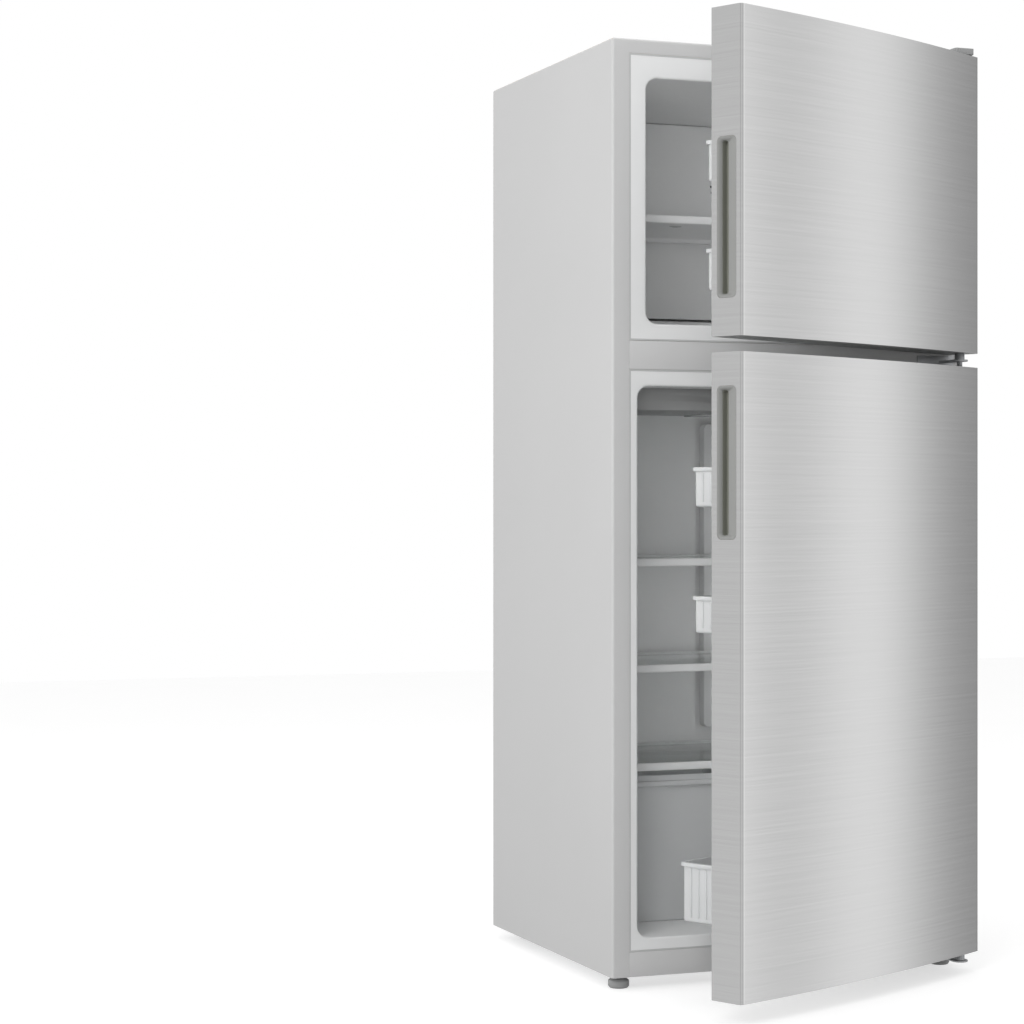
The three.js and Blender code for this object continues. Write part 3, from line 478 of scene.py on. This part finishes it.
def case_shell():
    """One sheet folded over both sides and the top, with its narrow front face turned in."""
    shell = block("case_shell", CASE_LO, CASE_HI)
    fold = 5 * mm
    with editing(shell, "EDGE"):
        pick("edges", lambda e: along(2)(e) and e.verts[0].co.y < FRONT + fold)
        pick("edges", lambda e: along(1)(e) and e.verts[0].co.z > CASE_HI.z - fold)
        pick("edges", lambda e: along(0)(e) and e.verts[0].co.z > CASE_HI.z - fold
             and e.verts[0].co.y < FRONT + fold)
        bpy.ops.mesh.bevel(offset=fold, segments=5, affect="EDGES")
    with editing(shell, "FACE"):
        pick("faces", facing(1, 1))
        pick("faces", facing(2, -1))
        bpy.ops.mesh.delete(type="FACE")
    inner_x = SIDE - SIDE_FLANGE
    inner_z = CASE_HI.z - TOP_FLANGE
    for place, normal in (((inner_x, 0, 0), (1, 0, 0)), ((-inner_x, 0, 0), (1, 0, 0)),
                          ((0, 0, inner_z), (0, 0, 1))):
        with editing(shell, "FACE"):
            pick("faces", facing(1, -1))
            bpy.ops.mesh.bisect(plane_co=place, plane_no=normal)
    with editing(shell, "FACE"):
        pick("faces", lambda f: facing(1, -1)(f) and abs(f.calc_center_median().x) < inner_x
             and f.calc_center_median().z < inner_z)
        bpy.ops.mesh.delete(type="FACE")
    thicken(shell, 1.0 * mm)
    smooth(shell)
    return finish(shell, "cabinet", "case_paint", "case_wrapper")


# ------------------------------------------------------------------ liners

LINER_WALL = 5 * mm
CORNER = 22 * mm
MOUTH = 4 * mm


def liner(name, node, low, high, shelf_nodes, step=None):
    """A moulded compartment: flange, rounded walls, soft mouth and shelf ribs."""
    flange_lo, flange_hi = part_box(node)
    face = flange_lo.y
    shell = block(name, flange_lo, (flange_hi.x, face + LINER_WALL, flange_hi.z))
    grow = Vector((LINER_WALL, 0, LINER_WALL))
    back = Vector((0, LINER_WALL, 0))
    outer = rounded_block("outer", Vector((low.x, face + 1 * mm, low.z)) - grow, high + grow + back, 1,
                          CORNER + LINER_WALL)
    inner = rounded_block("inner", (low.x, face - 10 * mm, low.z), high, 1, CORNER)
    with editing(inner, "EDGE"):
        pick("edges", lambda e: min(v.co.y for v in e.verts) > high.y - 1 * mm)
        bpy.ops.mesh.bevel(offset=14 * mm, segments=5, affect="EDGES")
    if step:
        combine(outer, stepped("step_outer", step, low, high, LINER_WALL), "DIFFERENCE")
        combine(inner, stepped("step_inner", step, low, high, 0), "DIFFERENCE")
        with editing(inner, "EDGE"):
            pick("edges", lambda e: along(0)(e) and step["foot"] - 2 * mm < e.verts[0].co.y
                 < step["head"] + 2 * mm)
            bpy.ops.mesh.bevel(offset=10 * mm, segments=4, affect="EDGES")
    combine(shell, outer, "UNION")
    combine(shell, inner, "DIFFERENCE")
    with editing(shell, "EDGE"):
        pick("edges", lambda e: all(abs(v.co.y - face) < 0.1 * mm for v in e.verts)
             and abs(e.verts[0].co.x) < -low.x + 0.5 * mm
             and low.z - 0.5 * mm < e.verts[0].co.z < high.z + 0.5 * mm
             and abs(e.verts[1].co.x) < -low.x + 0.5 * mm
             and low.z - 0.5 * mm < e.verts[1].co.z < high.z + 0.5 * mm)
        bpy.ops.mesh.bevel(offset=MOUTH, segments=4, affect="EDGES")
    pieces = [shell]
    for shelf in shelf_nodes:
        shelf_lo, shelf_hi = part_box(shelf)
        for hand in (-1, 1):
            wall, edge = hand * (high.x + 1 * mm), hand * (high.x - 12 * mm)
            rib = block("rib", (min(wall, edge), shelf_lo.y + 10 * mm, shelf_lo.z - 8.3 * mm),
                        (max(wall, edge), shelf_hi.y - 20 * mm, shelf_lo.z - 0.3 * mm))
            ease(rib, 2 * mm, 3)
            pieces.append(rib)
    shell = gather(name, *pieces)
    smooth(shell)
    return finish(shell, "cabinet", "liner_white", node)


def stepped(name, step, low, high, shrink):
    """The block that rises over the machine compartment, its front leaning back."""
    piece = block(name, (low.x - 0.1, step["head"] + shrink, low.z - shrink - 1 * mm),
                  (high.x + 0.1, high.y + 0.1, step["top"] - shrink))
    with editing(piece, "EDGE"):
        pick("edges", lambda e: along(0)(e) and e.verts[0].co.z < low.z
             and e.verts[0].co.y < step["head"] + shrink + 1 * mm)
        bpy.ops.transform.translate(value=(0, step["foot"] - step["head"], 0))
    return piece


def breaker_strip_and_groove_shade(name, node):
    """The grey strip that covers the joint between steel and liner flange; its grey is partly the strip's own
    colour and partly painted shade for the groove there.
    """
    low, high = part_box(node)
    y0, y1 = FRONT - 0.1 * mm, FRONT + 0.55 * mm
    strip = block(name, (low.x, y0, low.z), (high.x, y1, high.z))
    width = 3 * mm
    hole = block("hole", (low.x + width, y0 - PAST, low.z + width),
                 (high.x - width, y1 + PAST, high.z - width))
    combine(strip, hole, "DIFFERENCE")
    ease(strip, 0.2 * mm, 1)
    # The strip's grey is partly real and partly painted shade for the groove between the flanges.
    return finish(strip, "cabinet", "gasket_grey")


LINER_SHEET = 2 * mm  # what the liner's back wall measures
MACHINE_DEPTH = 174 * mm


def freezer_room():
    """The freezer compartment's inside, which its rear cover all but fills."""
    low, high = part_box("evaporator_cover")
    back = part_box("freezer_liner")[1].y - LINER_SHEET
    gap = 1 * mm
    return Vector((low.x - gap, FRONT, low.z - gap)), Vector((high.x + gap, back, high.z + gap))


def fridge_room():
    """The fridge compartment's inside, from its shelves, crispers and ceiling housing."""
    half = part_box("shelf_upper_frame")[1].x + 1.2 * mm
    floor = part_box("crisper_left")[0].z - 0.6 * mm
    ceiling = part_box("ceiling_housing")[1].z + 0.3 * mm
    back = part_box("fridge_liner")[1].y - LINER_SHEET
    return Vector((-half, FRONT, floor)), Vector((half, back, ceiling))


def freezer_liner():
    return liner("freezer_compartment", "freezer_liner", *freezer_room(), ["freezer_shelf"])


def fridge_liner():
    machine_front = CASE_HI.y - MACHINE_DEPTH
    step = {
        "foot": machine_front - 60 * mm,
        "head": machine_front - 25 * mm,
        "top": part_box("base_pan")[1].z + 46 * mm,
    }
    return liner("fridge_compartment", "fridge_liner", *fridge_room(),
                 ["crisper_cover_frame", "shelf_lower_frame", "shelf_upper_frame"], step)


# ------------------------------------------------------------------ doors

SHEET = 1.0 * mm
BOW = 16 * mm
EDGE_RADIUS = 7 * mm


def door_skin(label):
    """The bowed steel front, wrapped round both edges, with a window for the pocket handle."""
    low, high = closed_box(f"{label}_door_skin")
    edge_front = low.y + BOW
    # The bow is an arc on one centre behind the door.
    half = SIDE
    radius = (half ** 2 + BOW ** 2) / (2 * BOW)
    centre = Vector((0, low.y + radius, 0))
    swing = 2 * math.asin(half / radius)
    bpy.ops.object.select_all(action="DESELECT")
    bpy.ops.mesh.primitive_plane_add(size=1, location=(-half, edge_front, (low.z + high.z) / 2),
                                     rotation=(0, math.pi / 2, 0))
    skin = bpy.context.object
    skin.name = f"{label}_door_front"
    skin.scale = (high.z - low.z, 0.0001, 1)
    bpy.ops.object.transform_apply(location=True, rotation=True, scale=True)
    with editing(skin, "VERT"):
        bpy.ops.mesh.select_all(action="SELECT")
        bpy.ops.mesh.remove_doubles(threshold=0.001)
        bpy.ops.mesh.spin(steps=72, angle=-swing, center=centre, axis=(0, 0, 1))
        bpy.ops.mesh.select_all(action="SELECT")
        bpy.ops.mesh.remove_doubles(threshold=0.00001)
    with editing(skin, "EDGE"):
        pick("edges", lambda e: along(2)(e) and e.is_boundary)
        bpy.ops.mesh.extrude_edges_move(TRANSFORM_OT_translate={"value": (0, high.y - edge_front, 0)})
    with editing(skin, "EDGE"):
        pick("edges", lambda e: along(2)(e) and not e.is_boundary
             and abs(abs(e.verts[0].co.x) - half) < 0.1 * mm and e.verts[0].co.y < edge_front + 1 * mm)
        bpy.ops.mesh.bevel(offset=EDGE_RADIUS, segments=8, affect="EDGES")
    with editing(skin, "FACE"):
        bpy.ops.mesh.select_all(action="SELECT")
        bpy.ops.mesh.normals_make_consistent(inside=False)
    if sum(face.normal.y * face.area for face in skin.data.polygons) > 0:
        with editing(skin, "FACE"):
            bpy.ops.mesh.select_all(action="SELECT")
            bpy.ops.mesh.flip_normals()
    thicken(skin, SHEET)
    pocket_lo, pocket_hi = closed_box(f"{label}_door_handle")
    gap = 0.3 * mm
    window = rounded_block("window", (-half - PAST, pocket_lo.y - gap, pocket_lo.z - gap),
                           (-half + PAST, pocket_hi.y + gap, pocket_hi.z + gap), 0, 9 * mm)
    combine(skin, window, "DIFFERENCE")
    smooth(skin)
    return finish(open_up(skin), f"{label}_door", "brushed_steel", f"{label}_door_skin")


def pocket_handle(label):
    """A cup let into the door's edge: a thin rim and a scoop that slopes back to a deep finger slot, lined
    with a dark insert whose colour is painted shade.
    """
    low, high = closed_box(f"{label}_door_handle")
    cup = rounded_block(f"{label}_handle_cup", low, high, 0, 9 * mm)
    middle = (low + high) / 2
    slot_lo = Vector((low.x - 5 * mm, high.y - 18.5 * mm, low.z + 6 * mm))
    slot_hi = Vector((high.x - 2 * mm, high.y - 5.5 * mm, high.z - 6 * mm))
    with editing(cup, "FACE"):
        pick("faces", facing(0, -1))
        bpy.ops.mesh.inset(thickness=1.8 * mm)
        bpy.ops.mesh.inset(thickness=0.5 * mm, depth=-1.0 * mm)
        bpy.ops.mesh.inset(thickness=1.0 * mm)
        bpy.ops.mesh.extrude_region_move(TRANSFORM_OT_translate={"value": (6.5 * mm, 0, 0)})
        bpy.ops.transform.resize(value=(1, 0.4, 0.955), center_override=(middle.x, high.y - 8 * mm, middle.z))
    combine(cup, rounded_block("slot", slot_lo, slot_hi, 0, 5 * mm), "DIFFERENCE")
    ease(cup, 0.5 * mm, 2, 24)
    finish(open_up(cup), f"{label}_door", "trim_grey", f"{label}_door_handle", look="handle_cup")

    # A dark insert inside the finger slot; its colour is painted shade for the slot's recess.
    gap = 0.3 * mm
    lining = rounded_block(f"{label}_finger_slot", slot_lo + Vector((12.5 * mm, gap, gap)),
                           slot_hi - Vector((gap, gap, gap)), 0, 4.6 * mm)
    with editing(lining, "FACE"):
        pick("faces", facing(0, -1))
        bpy.ops.mesh.inset(thickness=0.7 * mm)
        bpy.ops.mesh.extrude_region_move(TRANSFORM_OT_translate={"value": (10 * mm, 0, 0)})
    smooth(lining)
    finish(open_up(lining), f"{label}_door", "trim_grey", look="finger_slot")


def ring(name, low, high, width, radius):
    """A rounded frame in the XZ plane, as deep as its box."""
    frame_piece = rounded_block(name, low, high, 1, radius)
    inset = Vector((width, 0, width))
    past = Vector((0, PAST, 0))
    hole = rounded_block("hole", low + inset - past, high - inset + past, 1, max(radius - width, 2 * mm))
    return combine(frame_piece, hole, "DIFFERENCE")


def door_liner(label, room):
    """The thermoformed inner face with its raised rim."""
    low, high = closed_box(f"{label}_door_liner")
    gap, width, radius = 14 * mm, 22 * mm, 36 * mm
    border = 16 * mm  # from the rim to the raised field inside it
    back = low.y + 2 * mm
    plate = block(f"{label}_door_inner", low, (high.x, back, high.z))
    rim_lo = Vector((room[0].x + gap, low.y + 0.5 * mm, room[0].z + gap))
    rim_hi = Vector((room[1].x - gap, high.y, room[1].z - gap))
    combine(plate, ring("rim", rim_lo, rim_hi, width, radius), "UNION")
    inset = Vector((width + border, 0, width + border))
    field_lo, field_hi = rim_lo + inset, rim_hi - inset
    field = rounded_block("field", (field_lo.x, back - 1 * mm, field_lo.z),
                          (field_hi.x, back + 2.2 * mm, field_hi.z), 1, 16 * mm)
    combine(plate, field, "UNION")
    ease(plate, 1.8 * mm, 3, 50)
    return finish(open_up(plate), f"{label}_door", "liner_white", f"{label}_door_liner")


def door_gasket(label):
    """A magnetic seal: a broad foot, a narrower bellows and the magnet's head."""
    low, high = closed_box(f"{label}_door_gasket")
    depth = high.y - low.y
    width = 24 * mm
    layers = []
    for start, end, inset in ((0.0, 0.32, 0.0), (0.24, 0.5, 5 * mm), (0.44, 0.66, 2.5 * mm),
                              (0.6, 0.8, 5 * mm), (0.72, 1.0, 1.5 * mm)):
        shrink = Vector((inset, 0, inset))
        ring_lo = low + shrink
        ring_hi = high - shrink
        ring_lo.y, ring_hi.y = low.y + start * depth, low.y + end * depth
        layer = ring("layer", ring_lo, ring_hi, width - 2 * inset, 5 * mm)
        layers.append(ease(layer, 0.9 * mm, 2))
    seal = gather(f"{label}_door_seal", *layers)
    return finish(open_up(seal), f"{label}_door", "gasket_grey", f"{label}_door_gasket")


def spread(start, end, pitch):
    """Evenly spaced values from start to end, about a pitch apart."""
    count = max(2, round((end - start) / pitch) + 1)
    return [start + (end - start) * i / (count - 1) for i in range(count)]


def flute(place, bottom, top):
    """A slim upright rib, half sunk in a wall."""
    bpy.ops.object.select_all(action="DESELECT")
    bpy.ops.mesh.primitive_cylinder_add(vertices=12, radius=2.2 * mm, depth=top - bottom,
                                        location=(place[0], place[1], (top + bottom) / 2))
    rib = bpy.context.object
    bpy.ops.object.transform_apply(location=True, rotation=True, scale=True)
    return ease(rib, 0.9 * mm, 2)


def door_bin(node, body):
    """A clear bin with round corners, a rolled rim and a raised front band."""
    low, high = closed_box(node)
    lip = 4 * mm
    tub = rounded_block(node + "_tub", low + Vector((lip, 0, 0)), high - Vector((lip, lip, 0)), 2, 12 * mm)
    with editing(tub, "EDGE"):
        pick("edges", lambda e: max(v.co.z for v in e.verts) < low.z + 1 * mm)
        bpy.ops.mesh.bevel(offset=5 * mm, segments=3, affect="EDGES")
    with editing(tub, "FACE"):
        pick("faces", facing(2, 1))
        bpy.ops.mesh.delete(type="FACE")
    thicken(tub, 2.4 * mm)
    flutes = [flute((x, high.y - lip, 0), low.z + 9 * mm, high.z - 9 * mm)
              for x in spread(low.x + 26 * mm, high.x - 26 * mm, 17 * mm)]
    flutes += [flute((edge, y, 0), low.z + 9 * mm, high.z - 9 * mm) for edge in (low.x + lip, high.x - lip)
               for y in spread(low.y + 20 * mm, high.y - 26 * mm, 17 * mm)]
    rim = rounded_block("rim", (low.x, low.y, high.z - 7 * mm), high, 2, 14 * mm)
    hole = rounded_block("hole", (low.x + lip + 1 * mm, low.y + 2.5 * mm, low.z),
                         (high.x - lip - 1 * mm, high.y - lip - 1 * mm, high.z + PAST), 2, 11 * mm)
    combine(rim, hole, "DIFFERENCE")
    ease(rim, 1.2 * mm, 2)
    smooth(tub)
    whole = gather(node + "_shell", tub, rim, *flutes)
    return finish(open_up(whole), body, "clear_plastic", node)


def build_door(label, room):
    door_skin(label)
    pocket_handle(label)
    door_liner(label, room)
    door_gasket(label)
    for node in BODIES[f"{label}_door"]:
        if "_bin_" in node:
            door_bin(node, f"{label}_door")
    for cap in ("top_cap", "bottom_cap"):
        refined(f"{label}_door_{cap}", 0.8 * mm, "trim_grey")


# ------------------------------------------------------------------ drawers


def crisper(node, body):
    """A clear drawer with soft edges and a finger lip."""
    low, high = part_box(node)
    lip = 10 * mm
    collar = 18 * mm  # the straight top of the walls
    tub = rounded_block(node + "_tub", (low.x, low.y + lip, low.z), (high.x, high.y, high.z), 1, 14 * mm)
    with editing(tub, "EDGE"):
        pick("edges", lambda e: max(v.co.z for v in e.verts) < high.z - collar + 1 * mm and not along(0)(e)
             and abs(e.verts[0].co.y - e.verts[1].co.y) < 0.1 * mm)
        bpy.ops.mesh.bevel(offset=5 * mm, segments=3, affect="EDGES")
    with editing(tub, "FACE"):
        bpy.ops.mesh.select_all(action="SELECT")
        bpy.ops.mesh.bisect(plane_co=(0, 0, high.z - collar), plane_no=(0, 0, 1), clear_outer=True)
    with editing(tub, "EDGE"):
        pick("edges", lambda e: e.is_boundary)
        bpy.ops.mesh.extrude_edges_move(TRANSFORM_OT_translate={"value": (0, 0, collar)})
    thicken(tub, 2.5 * mm)
    grip = block("grip", (low.x + 40 * mm, low.y, high.z - 20 * mm),
                 (high.x - 40 * mm, low.y + lip + 0.5 * mm, high.z - 10 * mm))
    ease(grip, 3 * mm, 3)
    smooth(tub)
    return finish(gather(node + "_drawer", tub, grip), body, "clear_plastic", node)


# ------------------------------------------------------------------ air grilles


SLOT_PITCH = 12 * mm
SLOT_HEIGHT = 5 * mm


def louvred(node, radius, groups, slot="liner_white", outward=-1):
    """A cover with rounded edges and groups of soft-ended level slots."""
    low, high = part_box(node)
    face = low.y if outward < 0 else high.y
    cover = rounded_block(node + "_panel", low, high, 1, radius)
    with editing(cover, "EDGE"):
        pick("edges", lambda e: all(abs(v.co.y - face) < 0.1 * mm for v in e.verts))
        bpy.ops.mesh.bevel(offset=min(2 * mm, 0.4 * (high.y - low.y)), segments=3, affect="EDGES")
    for x, z, count, half_width in groups:
        for i in range(count):
            rise = (i - (count - 1) / 2) * SLOT_PITCH
            half = half_width(rise)
            gap = rounded_block("gap", (x - half, low.y - PAST, z + rise - SLOT_HEIGHT / 2),
                                (x + half, high.y + PAST, z + rise + SLOT_HEIGHT / 2), 1, 2.4 * mm)
            combine(cover, gap, "DIFFERENCE")
    smooth(cover)
    return finish(cover, "cabinet", slot, node)


SCREW_RADIUS = 4.6 * mm
DIMPLE_GAP = 1.4 * mm
CROSS_LONG = 3.0 * mm
CROSS_SHORT = 0.5 * mm


def screw_disc(place, radius, depth):
    """A short round disc that faces the rear."""
    bpy.ops.object.select_all(action="DESELECT")
    bpy.ops.mesh.primitive_cylinder_add(vertices=24, radius=radius, depth=depth, location=place,
                                        rotation=(math.pi / 2, 0, 0))
    bpy.ops.object.transform_apply(location=True, rotation=True, scale=True)
    return bpy.context.object


def sunk_screws(plate, node, places):
    """Flush screws in round dimples along a rear plate, each head with its cross slot."""
    low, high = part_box(node)
    face = high.y
    depth = 0.7 * (high.y - low.y)
    heads = []
    for x, z in places:
        combine(plate, screw_disc((x, face, z), SCREW_RADIUS + DIMPLE_GAP, 2 * depth), "DIFFERENCE")
        head = ease(screw_disc((x, face - 0.6 * depth, z), SCREW_RADIUS, 0.9 * depth), 0.2 * mm, 2)
        for reach, rise in ((CROSS_LONG, CROSS_SHORT), (CROSS_SHORT, CROSS_LONG)):
            bit = block("bit", (x - reach, face - 0.45 * depth, z - rise),
                        (x + reach, face + depth, z + rise))
            combine(head, bit, "DIFFERENCE")
        heads.append(head)
    smooth(plate)
    screws = smooth(gather(node + "_screws", *heads))
    finish(screws, "cabinet", "galvanised", look="screw_zinc")


def rear_panels():
    """The flat sheet over the back and the louvred cover below it, both held by flush screws."""
    low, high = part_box("back_panel")
    sheet = block("back_sheet", low, high)
    ease(sheet, 0.3 * mm, 2)
    finish(sheet, "cabinet", "galvanised", "back_panel")
    edge = 16 * mm
    places = [(x, z) for x in (low.x + edge, high.x - edge)
              for z in spread(low.z + 40 * mm, high.z - 40 * mm, 260 * mm)]
    places += [(x, high.z - edge) for x in spread(low.x + 120 * mm, high.x - 120 * mm, 200 * mm)]
    sunk_screws(sheet, "back_panel", places)

    low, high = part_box("machine_cover")
    middle = (low.z + high.z) / 2
    cover = louvred("machine_cover", 6 * mm, [
        (share * high.x, middle, 7, lambda rise: 0.24 * high.x) for share in (-0.62, 0, 0.62)
    ], "galvanised", 1)
    edge = 12 * mm
    between = 0.345 * (high.x - low.x)  # from either end to the steel between two louvre groups
    places = [(x, z) for x in (low.x + edge, low.x + between, high.x - between, high.x - edge)
              for z in (low.z + edge, high.z - edge)]
    sunk_screws(cover, "machine_cover", places)


def air_covers():
    low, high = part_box("evaporator_cover")
    fan_lo, fan_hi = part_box("evaporator_fan")
    fan = (fan_lo + fan_hi) / 2
    reach = 46 * mm
    louvred("evaporator_cover", 21 * mm, [
        (fan.x, fan.z, 7, lambda rise: math.sqrt(reach ** 2 - rise ** 2)),
        (0, low.z + 33 * mm, 3, lambda rise: 0.7 * high.x),
    ])
    low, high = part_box("air_duct_cover")
    middle = (low.x + high.x) / 2
    louvred("air_duct_cover", 10 * mm, [
        (middle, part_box(f"shelf_{shelf}_frame")[1].z + 60 * mm, 4, lambda rise: 45 * mm)
        for shelf in ("lower", "upper")
    ])


# ------------------------------------------------------------------ the scene

SLOT_OF = {part["node"]: part["material_slot"] for part in frame["record"]["subparts"]}
EDGES = {
    "mullion_rail": 1.0, "bottom_rail": 0.8, "top_hinge_bracket": 0.6, "middle_hinge_bracket": 0.6,
    "bottom_hinge_bracket": 0.6, "top_hinge_cover": 2.5, "freezer_shelf": 2.0, "shelf_upper_frame": 2.0,
    "shelf_lower_frame": 2.0, "crisper_cover_frame": 2.0, "shelf_upper_glass": 0.6, "shelf_lower_glass": 0.6,
    "crisper_cover_glass": 0.6, "ceiling_housing": 2.0, "light_lens": 1.0, "temperature_knob": 0.8,
    "door_switch_button": 1.0, "compressor_plate": 0.6,
    "compressor": 2.0, "drip_tray": 0.8, "foot_left": 1.0, "foot_right": 1.0,
    "roller_left": 0.8, "roller_right": 0.8, "condenser_fan_shroud": 0.5, "condenser_fan": 0.5,
    "evaporator_fan": 0.5, "evaporator_fan_motor": 0.8,
}


def dress_rest():
    """Eases the edges of the plainer CAD pieces and gives every other one its material."""
    for node, width in EDGES.items():
        refined(node, width * mm, SLOT_OF[node])
    for node in ("base_pan", "case_foam", "freezer_door_foam", "fridge_door_foam",
                 "evaporator", "condenser_coil"):
        source = frame["nodes"][node]
        source.data.materials.clear()
        source.data.materials.append(FINISHES[SLOT_OF[node]])


def add_surroundings():
    bpy.ops.object.select_all(action="DESELECT")
    bpy.ops.mesh.primitive_plane_add(size=16, location=(0, 0, 0))
    floor = bpy.context.object
    floor.name = "floor"
    pale = Shader("pale_floor", Roughness=0.85, Specular_IOR_Level=0.2, Emission_Strength=1.0)
    dust = pale.noise(pale.place(), 2.0)
    pale.set(Base_Color=pale.blend(dust, (0.50, 0.50, 0.50), (0.53, 0.53, 0.53)))
    looked_at = pale.node("ShaderNodeLightPath", {}, out="Is Camera Ray")
    pale.set(Emission_Color=pale.blend(looked_at, (0.02, 0.02, 0.02), (0.62, 0.62, 0.62)))
    floor.data.materials.append(pale.material)
    floor.visible_glossy = False

    world = bpy.data.worlds.new("studio")
    bpy.context.scene.world = world
    sky = Nodes(world)
    backdrop = sky.tree.nodes["Background"]
    way = sky.node("ShaderNodeTexCoord", {}, out="Generated")
    axes = [sky.node("ShaderNodeSeparateXYZ", {}, way, out=i) for i in range(3)]
    turn = sky.node("ShaderNodeMath", {"operation": "ARCTAN2"}, axes[1], axes[0])
    share = turn / (2 * math.pi) + 0.5
    ramp = sky.tree.nodes.new("ShaderNodeValToRGB")
    sky.tree.links.new(share.socket, ramp.inputs[0])
    # Brightness round the studio, by the angle from +X towards -Y.
    tones = [(-180, 0.66), (-140, 0.66), (-112, 0.5), (-90, 0.75), (-62, 0.5), (-36, 0.85), (-25, 1.0),
             (-22, 0.8), (-19.5, 0.67), (-16.5, 0.73), (-13.5, 0.9), (-10, 1.0), (-7.5, 0.92), (-4.5, 0.67),
             (-1.5, 0.48), (2, 0.35), (10, 0.3), (40, 0.5), (90, 0.75), (135, 0.64), (180, 0.66)]
    stops = ramp.color_ramp.elements
    while len(stops) < len(tones):
        stops.new(0.5)
    for stop, (angle, tone) in zip(stops, tones):
        stop.position = (angle + 180) / 360
        stop.color = (tone, tone, tone, 1)
    seen = sky.node("ShaderNodeLightPath", {}, out="Is Camera Ray")
    colour = sky.blend(seen, Wire(sky, ramp.outputs[0]), (1.0, 1.0, 1.0))
    sky.feed(backdrop.inputs["Color"], colour)
    backdrop.inputs["Strength"].default_value = 1.0

    centre = (0, 0, 0.85)
    add_light("key", (-3.2, -3.0, 3.0), centre, (2.0, 2.0), 72, seen=False)
    add_light("fill", (-2.5, -4.6, 1.0), (0, 0, 0.8), (1.6, 1.6), 42, seen=False)
    add_light("top", (0.3, 0.4, 4.5), centre, (3.0, 3.0), 40)
    add_light("side", (-4.0, 0.8, 1.6), centre, (2.0, 2.0), 30, seen=False)
    # Slim lamps just inside the hinge side of each compartment.
    for node, watts in (("freezer_liner", 0.25), ("fridge_liner", 0.6)):
        low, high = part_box(node)
        middle = (low + high) / 2
        lamp = (high.x - 50 * mm, FRONT + 120 * mm, middle.z)
        size = (40 * mm, 0.7 * (high.z - low.z))
        add_light(node + "_lamp", lamp, (low.x / 2, high.y, middle.z), size, watts, seen=False)
    bpy.context.scene.view_settings.view_transform = "Standard"


add_camera()
case_shell()
freezer_liner()
fridge_liner()
breaker_strip_and_groove_shade("freezer_breaker_strip", "freezer_liner")
breaker_strip_and_groove_shade("fridge_breaker_strip", "fridge_liner")
build_door("freezer", freezer_room())
build_door("fridge", fridge_room())
crisper("crisper_left", "left_crisper")
crisper("crisper_right", "right_crisper")
air_covers()
rear_panels()
dress_rest()
add_surroundings()
